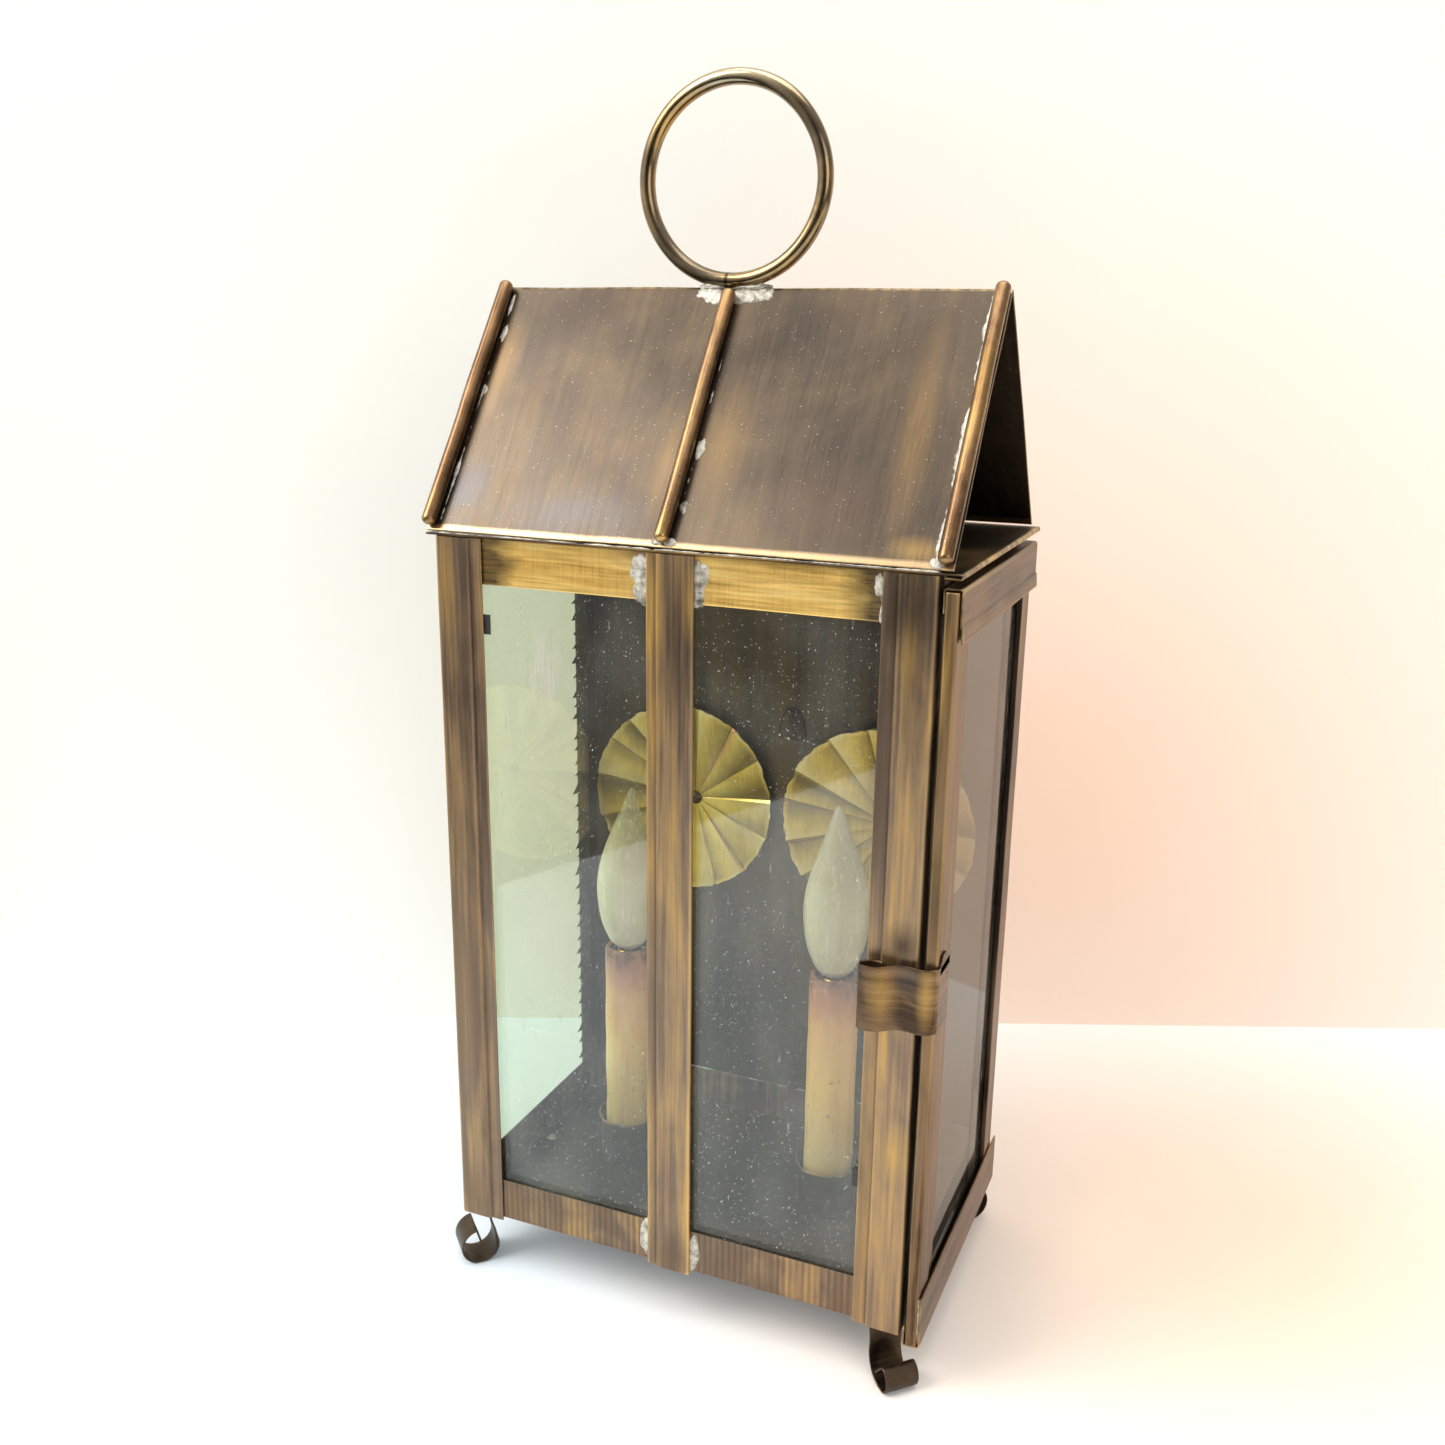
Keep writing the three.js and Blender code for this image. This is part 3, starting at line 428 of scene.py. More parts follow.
# On the roof the bluish patches at the lower left are a painted reflection of the pale floor, and the dark
# patches by the ridge are painted shade that darkens the roof towards its top.
ROOF_MARKS = (
    ((-108, -26, 442), (9, 26, 32), BRONZE, 0.35),
    ((-104, -62, 392), (14, 18, 20), BLUISH_REFLECTION, 0.60),
    ((-77, -6, 471), (34, 9, 14), SMOKE_AND_SHADE, 0.60),
    ((-55, -66, 386), (36, 12, 16), BLUISH_REFLECTION, 0.45),
    ((-12, -50, 408), (6, 22, 30), BRONZE, 0.30),
    ((12, -46, 413), (13, 26, 34), BRONZE, 0.30),
    ((94, -40, 423), (8, 40, 54), BRONZE, 0.35),
    ((50, -8, 470), (26, 10, 14), SMOKE_AND_SHADE, 0.50),
    ((62, -60, 394), (30, 14, 20), PLUMMY, 0.55),
    ((104, -70, 380), (12, 6, 7), RUBBED, 0.25),
)
POST_MARKS = (
    ((104, -74, 338), (3.5, 6, 17), RUBBED, 0.70),
    ((105, -74, 360), (14, 6, 22), SMOKE_AND_SHADE, 0.75),
    ((109, -74, 335), (9, 6, 50), SMOKE_AND_SHADE, 0.55),
    ((94, -74, 300), (5, 6, 90), PLUMMY, 0.60),
    # dark patch above the latch: painted shadow
    ((108, -74, 216), (12, 6, 13), SMOKE_AND_SHADE, 0.95),
    # near black down the post's side next to the door: painted shade in the gap
    ((115.5, -69, 195), (1.9, 10, 900), GAP_SHADE, 1.5),
    ((94, -74, 100), (4, 6, 120), PLUMMY, 0.60),
    ((-108, -74, 240), (8, 8, 170), TAN, 0.35),
    ((-101, -74, 200), (4, 8, 200), PLUMMY, 0.45),
    ((108, -74, 117), (8, 6, 16), RUBBED, 0.55),
    ((-110, -74, 352), (5, 8, 26), RUBBED, 0.55),
    ((-101, -74, 330), (7, 8, 40), PLUMMY, 0.50),
    ((-108, -74, 40), (9, 8, 22), PLUMMY, 0.40),
)
MUNTIN_MARKS = (
    ((3, -74, 340), (9, 6, 46), PLUMMY, 0.70),
    ((9, -74, 352), (3, 6, 16), RUBBED, 0.60),
    ((-9, -73, 338), (4, 6, 12), RUBBED, 0.60),
    ((2, -74, 36), (10, 6, 16), PLUMMY, 0.50),
)
RAIL_MARKS = (
    ((-99, -72, 362), (22, 10, 60), SMOKE_AND_SHADE, 1.7),
    ((-10, -72, 372), (24, 8, 8), BROWN, 0.90),
    ((94, -72, 362), (20, 10, 60), SMOKE_AND_SHADE, 1.6),
    ((60, -72, 374), (70, 8, 5), BROWN, 0.60),
)
DOOR_MARKS = (
    ((119, -75, 334), (3, 8, 26), RUBBED, 0.60),
    ((121, -75, 235), (5, 12, 30), SMOKE_AND_SHADE, 0.50),
    # near black on the rear stile's edge behind the door pane: painted shade
    ((119.5, 47.8, 195), (8, 2.4, 900), GAP_SHADE, 1.6),
)
LATCH_MARKS = (
    ((101, -81, 195), (7, 6, 14), RUBBED, 0.30),
    ((119.5, -79, 198), (3.5, 6, 14), RUBBED, 0.45),
    ((92, -79, 196), (3, 8, 40), SMOKE_AND_SHADE, 0.45),
    ((110, -77, 184), (10, 6, 7), SMOKE_AND_SHADE, 0.30),
    ((112, -77, 204), (8, 6, 7), BLUISH_REFLECTION, 0.35),
)
MATERIALS = {
    "post": brass("brass_post", ACROSS_X, (30, 30, 7), lift=0.045, gold=0.04, marks=POST_MARKS),
    "muntin": brass("brass_muntin", ACROSS_X, (30, 30, 6), lift=0.065, gold=0.04, shift=(2, 1, 0),
                    marks=MUNTIN_MARKS),
    "top_rail": brass("brass_top_rail", (30, 700, 800), (18, 18, 60), lift=0.06, gold=0.2,
                      cross=(900, 700, 30), tones=RAIL_TONES, marks=RAIL_MARKS),
    "floor_pan": brass("brass_floor_pan", (560, 560, 20), (22, 22, 22), lift=0.03, gold=0.1, shift=(5, 0, 2),
                       ribs=0.35, level=SLATE),
    # the roof's fade is a lighter band along the eave: burnished edge with a painted highlight
    "roof": brass("brass_roof", (1100, 50, 50), (18, 18, 13), gold=0.015, rough=(0.24, 0.36), specks=0.5,
                  tones=ROOF_TONES, marks=ROOF_MARKS, fade=(377.5, 376.2, (0.42, 0.30, 0.17)), brush=0.45),
    "plate": brass("brass_plate", (60, 650, 650), (20, 20, 20), lift=0.02, gold=0.2, tones=DARK_TONES),
    "back": brass("brass_back", (600, 60, 24), (12, 12, 9), lift=0.14, gold=0.04, rough=(0.34, 0.5),
                  tones=ROOF_TONES),
    "door": brass("brass_door", ACROSS_X, (30, 26, 8), lift=-0.16, gold=0.1, shift=(6, 3, 1),
                  marks=DOOR_MARKS),
    "door_rail": brass("brass_door_rail", (700, 26, 700), (24, 12, 24), lift=-0.15, gold=0.05,
                       shift=(1, 3, 4), brush=0.7),
    "rod": brass("brass_rod", (260, 90, 90), (40, 26, 26), gold=0.3, specks=0.6, tones=ROD_TONES,
                 rough=(0.2, 0.32)),
    # the pale patch on top of the ring is a painted highlight
    "ring": brass("brass_ring", (120, 400, 120), (30, 60, 30), gold=0.25, rough=(0.12, 0.2), tones=RING_TONES,
                  metal=1.0, marks=(((-2, 0, 569), (44, 12, 16), (0.62, 0.52, 0.34), 0.8),)),
    "foot": brass("brass_foot", (220, 220, 220), (40, 40, 40), lift=-0.02, tones=DARK_TONES),
    "dark": brass("brass_dark", (420, 420, 60), (30, 30, 20), rough=(0.36, 0.52), tones=DARK_TONES),
    "cup": brass("brass_cup", (240, 240, 60), (40, 40, 30), rough=(0.34, 0.48), tones=DARK_TONES),
    "latch": brass("brass_latch", (30, 30, 1900), (30, 30, 50), lift=-0.15, shift=(1, 6, 0), brush=0.7,
                   marks=LATCH_MARKS),
    "plated": brass("brass_plated", (300, 300, 900), (60, 60, 60), lift=0.28, rough=(0.2, 0.3)),
    "reflector": reflector_brass(),
    "solder": solder_metal(),
    "front_glass": pane_glass("front_glass", (0.97, 0.98, 0.955)),
    "side_glass": pane_glass("side_glass", (0.90, 0.965, 0.865), waves=0.0007,
                             wiped=((-0.1104, 0.01, 0.29), (0.05, 0.03, 0.028))),
    "door_glass": pane_glass("door_glass", (0.84, 0.83, 0.80), shine=0.66),
    "frosted_left": frosted_glass("frosted_left", 0.16),
    "frosted_right": frosted_glass("frosted_right", 0.62),
    "wax": candle_wax(),
    "black": plastic("black_plastic", (0.012, 0.012, 0.012)),
}


# ---- Mesh building, in millimetres ----
def build(name, vertices, faces, look, body="lantern", slot="", replaces=(), sharp=38, **attributes):
    """A closed mesh object riding on a body. Each attribute has one value per vertex."""
    mesh = bpy.data.meshes.new(name)
    mesh.from_pydata([tuple(c * MM for c in v) for v in vertices], [], faces)
    for key, values in attributes.items():
        layer = mesh.attributes.new(key, "FLOAT", "POINT")
        layer.data.foreach_set("value", [float(v) for v in values])
    b = bmesh.new()
    b.from_mesh(mesh)
    bmesh.ops.remove_doubles(b, verts=b.verts, dist=1e-7)
    bmesh.ops.recalc_face_normals(b, faces=b.faces)
    b.to_mesh(mesh)
    b.free()
    mesh.polygons.foreach_set("use_smooth", [True] * len(mesh.polygons))
    mesh.set_sharp_from_angle(angle=math.radians(sharp))
    piece = bpy.data.objects.new(name, mesh)
    bpy.context.scene.collection.objects.link(piece)
    mesh.materials.append(MATERIALS[look])
    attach(piece, body)
    if replaces:
        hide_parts(*replaces)
    return piece


def stand_in(node, form, vertices, faces, look, **more):
    """A piece shown in place of a CAD node, riding on that node's body."""
    return build(f"{node}_{form}", vertices, faces, look, BODIES[node], SLOTS[node], [node], **more)


def skin(rows, width, base=0, closed=True, looped=False):
    """Faces between rows of width points. closed joins a row's two ends, looped the last row to the first."""
    faces = []
    for r in range(rows if looped else rows - 1):
        low, high = base + r * width, base + (r + 1) % rows * width
        for i in range(width if closed else width - 1):
            n = (i + 1) % width
            faces.append((low + i, low + n, high + n, high + i))
    return faces


def around(angle, scale=1.0, height=0.0):
    """A point on a circle about the Z axis."""
    return Vector((math.cos(angle) * scale, math.sin(angle) * scale, height))


def softened(path, radius, steps=4):
    """An open path with its bends rounded, as (x, y, turn) with turn the signed bend in radians there."""
    points = [(*path[0], 0.0)]
    for before, corner, after in zip(path, path[1:], path[2:]):
        before, corner, after = Vector(before), Vector(corner), Vector(after)
        into, out = corner - before, after - corner
        turn = math.atan2(into.x * out.y - into.y * out.x, into.dot(out))
        if abs(turn) < 0.35:
            points.append((*corner, turn * 0.2))
            continue
        reach = min(radius * math.tan(abs(turn) / 2), into.length * 0.45, out.length * 0.45)
        start, end = corner - into.normalized() * reach, corner + out.normalized() * reach
        for i in range(steps + 1):
            t = i / steps
            spot = start * (1 - t) ** 2 + corner * 2 * t * (1 - t) + end * t * t
            points.append((*spot, turn if i == steps // 2 else 0.0))
    return points + [(*path[-1], 0.0)]


def spaced(low, high, pitch, edge=(0.25, 0.8, 2.0)):
    """Stations from low to high: close together at both ends and no further apart than pitch between."""
    near = [e for e in edge if e < (high - low) / 3]
    margin = near[-1] if near else 0
    inner_low, inner_high = low + margin, high - margin
    count = max(1, math.ceil((inner_high - inner_low) / pitch))
    middle = [inner_low + (inner_high - inner_low) * i / count for i in range(count + 1)]
    ends = [low, high, *(low + e for e in near), *(high - e for e in near)]
    return sorted({round(v, 5) for v in ends + middle})


def filled(points, pitch):
    """Extra points along the straight stretches of a softened path."""
    out = [points[0]]
    for (ax, ay, _), (bx, by, turn) in zip(points, points[1:]):
        length = math.hypot(bx - ax, by - ay)
        if length > 1.6:
            for station in spaced(0, length, pitch, (0.3, 0.9, 2.2))[1:-1]:
                t = station / length
                out.append((ax + (bx - ax) * t, ay + (by - ay) * t, 0.0))
        out.append((bx, by, turn))
    return out


def upright(a, b, c):
    return a, b, c


def along_x(a, b, c):
    return c, a, b


def along_y(a, b, c):
    return a, c, b


def sheet_outline(line, half):
    """Both faces of a sheet along its middle line, as (x, y, wear and shading): brighter at its ends and
    outside a bend, darker inside a bend as painted shade.
    """
    run = [0.0]
    for (ax, ay, _), (bx, by, _) in zip(line, line[1:]):
        run.append(run[-1] + math.hypot(bx - ax, by - ay))
    bends = [(at, turn) for at, (_, _, turn) in zip(run, line) if abs(turn) > 0.3]
    last = len(line) - 1
    sides = []
    for side in (1, -1):
        points = []
        for i, (x, y, _) in enumerate(line):
            before, after = line[max(i - 1, 0)], line[min(i + 1, last)]
            along = Vector((after[0] - before[0], after[1] - before[1])).normalized()
            normal = Vector((-along.y, along.x)) * side
            slim = END_THICKNESS if i in (0, last) else 1.0
            edge = min(run[i], run[-1] - run[i])
            worn = math.exp(-((edge / 1.0) ** 2)) * 0.8
            for spot, turn in bends:
                near = math.exp(-(((run[i] - spot) / 1.3) ** 2)) * min(1.0, abs(turn))
                # lighter outside the bend, darker inside it: painted shade in the fold
                worn += near if turn * side < 0 else -near
            points.append((x + normal.x * half * slim, y + normal.y * half * slim, worn))
        sides.append(points)
    return sides[0] + sides[1][::-1]


def folded(node, form, path, low, high, place, look, thickness=SHEET, radius=0.9, pitch=8.0, wobble=0.15,
           wear_and_shade_scale=1.0, trim=None):
    """Sheet folded along an open path (a, b) and swept from low to high, with softened folds, bright edges
    and painted shade inside the folds.

    trim(a, b, c) may return a moved (a, b, c), for ends that aren't square.
    """
    outline = sheet_outline(filled(softened(path, radius), pitch), thickness / 2)
    size = len(outline)
    count = size // 2
    stations = spaced(low, high, pitch)
    shift = Vector((len(f"{node}_{form}"), 0, 0))
    vertices, worn = [], []
    for k, station in enumerate(stations):
        end = min(station - low, high - station)
        slim = END_THICKNESS if k in (0, len(stations) - 1) else 1.0
        for (x, y, wear_and_shade_here), (ox, oy, _) in zip(outline, outline[::-1]):
            mx, my = (x + ox) / 2, (y + oy) / 2
            a, b, c = mx + (x - mx) * slim, my + (y - my) * slim, station
            if trim:
                a, b, c = trim(a, b, c)
            spot = Vector(place(a, b, c))
            if wobble:
                spot += noise.noise_vector(spot / 45.0 + shift) * wobble
            vertices.append(spot)
            worn.append(wear_and_shade_scale * (wear_and_shade_here + 0.6 * math.exp(-((end / 0.9) ** 2))))
    faces = skin(len(stations), size)
    for k in (0, len(stations) - 1):
        for j in range(count - 1):
            faces.append((k * size + j, k * size + j + 1, k * size + size - 2 - j, k * size + size - 1 - j))
    return stand_in(node, form, vertices, faces, look, worn=worn)


def turned(node, form, profile, centre, look, sides=64, shape=None, lying=False, **attributes):
    """A closed profile of (radius, height) turned about an axis through centre: upright, or lying towards -Y.

    shape(spot, angle, index) may move a vertex; attributes are functions of (height, angle).
    """
    vertices, rows = [], []
    values = {key: [] for key in attributes}
    for index, (radius, height) in enumerate(profile):
        row = []
        for i in range(1 if radius < 1e-6 else sides):
            angle = 2 * math.pi * i / sides
            spot = around(angle, radius, height)
            if shape:
                spot = shape(spot, angle, index)
            if lying:
                spot = Vector((spot.x, -spot.z, spot.y))
            row.append(len(vertices))
            vertices.append(centre + spot)
            for key in values:
                values[key].append(attributes[key](height, angle))
        rows.append(row)
    faces = []
    ring = len(rows[0]) > 1 and len(rows[-1]) > 1
    for low, high in list(zip(rows, rows[1:])) + ([(rows[-1], rows[0])] if ring else []):
        for i in range(0 if len(low) == len(high) == 1 else sides):
            n = (i + 1) % sides
            if len(low) == 1:
                faces.append((low[0], high[n], high[i]))
            elif len(high) == 1:
                faces.append((low[i], low[n], high[0]))
            else:
                faces.append((low[i], low[n], high[n], high[i]))
    return stand_in(node, form, vertices, faces, look, **values)


def slab(node, form, look, pitch, bevel=0.35):
    """A pane as large as its CAD node, with ground edges and a grid on both faces."""
    low, high = box_mm(node)
    size = list(high - low)
    thin = size.index(min(size))
    wide = [i for i in range(3) if i != thin]
    rows, columns = (spaced(low[i], high[i], pitch, (bevel,)) for i in wide)
    last_row, last_column = len(rows) - 1, len(columns) - 1
    vertices = []
    for depth, inwards in ((low[thin], bevel), (high[thin], -bevel)):
        for i, a in enumerate(rows):
            for j, b in enumerate(columns):
                rim = i in (0, last_row) or j in (0, last_column)
                spot = [0.0, 0.0, 0.0]
                spot[wide[0]], spot[wide[1]], spot[thin] = a, b, depth + inwards * rim
                vertices.append(spot)
    width = len(columns)
    layer = len(rows) * width
    faces = [face for base in (0, layer) for face in skin(len(rows), width, base, closed=False)]
    rim = [i * width for i in range(last_row)] + [last_row * width + j for j in range(last_column)]
    rim += [i * width + last_column for i in range(last_row, 0, -1)] + list(range(last_column, 0, -1))
    faces += [(here, there, layer + there, layer + here) for here, there in zip(rim, rim[1:] + rim[:1])]
    return stand_in(node, form, vertices, faces, look)


def keep_cad(node, look, bevel):
    """Shows a CAD node with its edges broken and a better material."""
    shown = frame["nodes"][node]
    shown.data.materials.clear()
    shown.data.materials.append(MATERIALS[look])
    weld = shown.modifiers.new("weld", "WELD")
    weld.merge_threshold = 2e-6
    if bevel:
        edges = shown.modifiers.new("edges", "BEVEL")
        edges.width = bevel * MM
        edges.segments = 2
        edges.limit_method = "ANGLE"
        edges.angle_limit = math.radians(32)
        edges.use_clamp_overlap = True
    shading = shown.modifiers.new("shading", "WEIGHTED_NORMAL")
    shading.keep_sharp = True


# ---- Body ----
def strip_face(lip_start, corner, face, lip=LIP):
    """Lip, seam and band of a frame strip, from its lip's edge to its corner, as (across, depth)."""
    towards = math.copysign(1, corner - lip_start)
    inwards = -math.copysign(1, face)
    band = face + inwards * HALF
    seam = lip_start + towards * lip
    return [
        (lip_start, band + inwards * LIP_STEP),
        (seam - towards * 0.2, band + inwards * LIP_STEP),
        (seam + towards * 0.3, band),
        (corner - towards * HALF, band),
    ]


def make_strips():
    low, high = box_mm("post_front_left")
    side = [(depth, along) for along, depth in strip_face(high.y, low.y, low.x)]
    path = strip_face(high.x, low.x, low.y) + side[-2::-1]
    folded("post_front_left", "strip", path, low.z, high.z, upright, "post", radius=0.8, wear_and_shade_scale=0.7)
    for node, look, lip, radius in (
        ("post_front_right", "post", LIP, 0.8),
        ("front_muntin", "muntin", MUNTIN_LIP, 0.7),
    ):
        low, high = box_mm(node)
        path = strip_face(low.x, high.x, low.y, lip) + [(high.x - HALF, high.y)]
        folded(node, "strip", path, low.z, high.z, upright, look, radius=radius, wear_and_shade_scale=0.7)
    for node, axis, place, look in (
        ("front_top_rail", 0, along_x, "top_rail"),
        ("left_top_rail", 1, along_y, "post"),
        ("right_top_rail", 1, along_y, "post"),
    ):
        low, high = box_mm(node)
        middle = (low[1 - axis] + high[1 - axis]) / 2
        path = [(middle, low.z), (middle, high.z)]
        folded(node, "strip", path, low[axis], high[axis], place, look, pitch=6)


def make_panes():
    for node, look in (
        ("front_glass_left", "front_glass"),
        ("front_glass_right", "front_glass"),
        ("left_glass", "side_glass"),
        ("door_glass", "door_glass"),
    ):
        slab(node, "pane", look, pitch=30.0)


def make_ragged_edge():
    """A black sheet with ragged barbs runs down the outside of the left pane beside the back panel: painted
    shade where the dark inside shows past the pane's chipped rear edge.
    """
    pane_low, pane_high = box_mm("left_glass")
    edge = box_mm("back_panel")[0].y
    vertices = []
    stations = spaced(pane_low.z + 2, pane_high.z - 5, 0.9)
    for z in stations:
        barb = ((z + 4 * noise.noise(Vector((0, 0, z / 12)))) / 8.0) % 1.0
        size = 8.0 + 4.0 * noise.noise(Vector((7, 0, z / 14)))
        reach = 2.4 + size * (1 - barb) ** 2 + 1.2 * noise.noise(Vector((3, 0, z / 1.5)))
        for x, y in ((0.25, edge - reach), (0.02, edge - reach), (0.02, pane_high.y), (0.25, pane_high.y)):
            vertices.append((pane_low.x - x, y, z))
    last = len(vertices) - 4
    ends = [(3, 2, 1, 0), (last, last + 1, last + 2, last + 3)]
    build("left_glass_painted_shade", vertices, skin(len(stations), 4) + ends, "black")


def make_hanger_cap():
    low, high = box_mm("hanger_cap")
    half, reach, tall = (high.x - low.x) / 2, high.y - low.y, high.z - low.z
    centre = Vector(((low.x + high.x) / 2, high.y, low.z))
    rows, width = 15, 25
    shell = rows * width
    vertices, faces = [], []
    for number, size in enumerate((1.0, 0.9)):
        for row in range(rows):
            rise = math.pi / 2 * row / (rows - 1)
            for i in range(width):
                spot = around(math.pi * i / (width - 1), half * math.sin(rise) * size, math.cos(rise) * size)
                vertices.append(centre + Vector((spot.x, -abs(spot.y) / half * reach, spot.z * tall)))
        faces += skin(rows, width, number * shell, closed=False)
    sides = [(r * width + i, (r + 1) * width + i) for r in range(rows - 1) for i in (0, width - 1)]
    foot = [(shell - width + i, shell - width + i + 1) for i in range(width - 1)]
    faces += [(a, b, b + shell, a + shell) for a, b in sides + foot]
    stand_in("hanger_cap", "dome", vertices, faces, "dark")


# ---- Roof ----
def roof_line():
    """Foot and apex (y, z) of the roof sheet's middle line, in mm."""
    low, high = box_mm("roof_sheet")
    run = (high.y - low.y) / 2 - 0.37
    return (-run, low.z + 0.26), (0.0, high.z - 0.78)


def make_roof():
    low, high = box_mm("roof_plate")
    edge = high.x - HALF
    top, bottom = high.z - HALF, low.z + HALF
    hem_start = box_mm("post_front_right")[1].x + 2
    path = [(low.x, top), (edge, top), (edge, bottom), (hem_start, bottom)]
    folded("roof_plate", "sheet", path, low.y, high.y, along_y, "plate", radius=0.7, pitch=9, wobble=0.2)
    low, high = box_mm("roof_sheet")
    foot, apex = roof_line()
    path = [foot, apex, (-foot[0], foot[1])]
    folded("roof_sheet", "fold", path, low.x, high.x, along_x, "roof", radius=1.2, pitch=6, wobble=0.35)


def make_rod(side):
    foot, apex = roof_line()
    slope = Vector((apex[0] - foot[0], apex[1] - foot[1])).normalized()
    tilt = Matrix.Rotation(-math.atan2(slope.x, slope.y), 3, "X")
    node = "roof_rod_" + side
    low, high = box_mm(node)
    radius = (high.x - low.x) / 2
    length = math.hypot(high.z - low.z - 2 * radius, high.y - low.y - 2 * radius) + 2 * radius
    foot_middle = Vector(((low.x + high.x) / 2, low.y + radius, low.z + radius))
    start = foot_middle - Vector((0, slope.x, slope.y)) * radius
    dome, steps = 8, 22
    profile = []
    for i in range(dome + 1):
        rise = i / dome * math.pi / 2
        profile.append((radius * math.sin(rise), radius * 0.8 * (1 - math.cos(rise))))
    middle = [(radius, radius * 0.8 + (length - radius * 1.6) * i / steps) for i in range(1, steps)]
    top = [(r, length - h) for r, h in reversed(profile)]

    def bent(spot, angle, index):
        bend = noise.noise_vector(Vector((start.x / 7, spot.z / 28, 0)))
        return tilt @ (spot + Vector((bend.x, bend.y * 0.4, 0)) * 0.35)

    def worn(height, angle):
        edge = min(height, length - height)
        # bright at both ends; the side facing away from the roof is painted lighter, a painted highlight
        return 0.7 * math.exp(-((edge / 3.0) ** 2)) + 0.25 * max(0.0, -math.sin(angle))

    turned(node, "bar", profile + middle + top, start, "rod", sides=32, shape=bent, worn=worn)


def make_ring():
    low, high = box_mm("ring_handle")
    outside = (high.x - low.x) / 2
    centre = Vector(((low.x + high.x) / 2, 0, high.z - outside))
    radius = outside - RING_WIRE
    rows, width = 240, 24
    seam_at, seam_width = 4.66, 0.012
    vertices, worn = [], []
    for i in range(rows):
        turn = 2 * math.pi * i / rows
        out = Vector((math.cos(turn), 0, math.sin(turn)))
        dent = 1 + 0.006 * noise.noise(around(turn, 1.5, 4))
        seam = math.exp(-(((turn - seam_at) / seam_width) ** 2))
        for j in range(width):
            angle = 2 * math.pi * j / width
            across, deep = RING_WIRE * math.cos(angle), RING_WIRE * math.sin(angle)
            vertices.append(centre + out * (radius * dent + across) + Vector((0, deep, 0)))
            outer = max(0.0, math.cos(angle)) ** 2
            worn.append(0.5 * outer * (0.5 + 0.5 * noise.noise(out * 2.2)) - 1.5 * seam)
    faces = skin(rows, width, looped=True)
    stand_in("ring_handle", "wire", vertices, faces, "ring", worn=worn)


# ---- Feet ----
def foot_path(under):
    """Side path of a scroll foot: (outward from the corner, height)."""
    loop, out, up = 9.3, -6.7, 9.75
    path = [(-26, under), (-13.4, under), (-12.4, under - 1.2), (-12.6, under - 5), (-14.2, under - 9.5)]
    for i in range(73):
        angle = math.radians(158 + i * 3.9)
        path.append((out + loop * math.cos(angle), up + loop * math.sin(angle)))
    return path + [(-6.4, 13.5), (-8.8, 5.9)]


def tight_foot_path(under):
    """The front right foot was bent by hand into a tighter roll that stands further out."""
    neck = [(-26, under), (-13.4, under), (-12.4, under - 1.2), (-11.9, 21), (-11.7, 17), (-12, 13)]
    turn = [(-11.7, 10), (-10.8, 7.2), (-9.3, 4.6), (-7.4, 2.7), (-5.2, 1.4), (-2.8, 0.7), (-0.4, 0.45)]
    roll = [(1.8, 0.7), (3.6, 2), (4.7, 3.7), (5.2, 5.7), (5.1, 7.6), (4.5, 9.4), (3.5, 11), (2.2, 12.1)]
    return neck + turn + roll + [(0.9, 12.5), (-0.2, 12.1), (-2.8, 9.2), (-5.8, 5.6)]


def make_foot(place_name, x, y, path):
    outward = Vector((math.copysign(1, x), math.copysign(1, y), 0)).normalized()
    across = outward.cross(Vector((0, 0, 1)))
    corner = Vector((x, y, 0))
    half_width = 8.25

    def at_corner(a, b, c):
        return corner + outward * a + Vector((0, 0, max(b, HALF))) + across * c

    folded("foot_" + place_name, "scroll", path, -half_width, half_width, at_corner, "foot", radius=1.2,
           pitch=3.0, wobble=0.0, wear_and_shade_scale=0.25)


def make_feet():
    under = box_mm("floor_pan")[0].z - 0.3 - HALF
    left, right = box_mm("post_front_left")[0], box_mm("post_front_right")[1]
    rear = box_mm("back_panel")[1].y
    for place_name, x, y, side_path in (
        ("front_left", left.x, left.y, foot_path),
        ("front_right", right.x, left.y, tight_foot_path),
        ("rear_left", left.x, rear, foot_path),
        ("rear_right", right.x, rear, foot_path),
    ):
        make_foot(place_name, x, y, side_path(under))


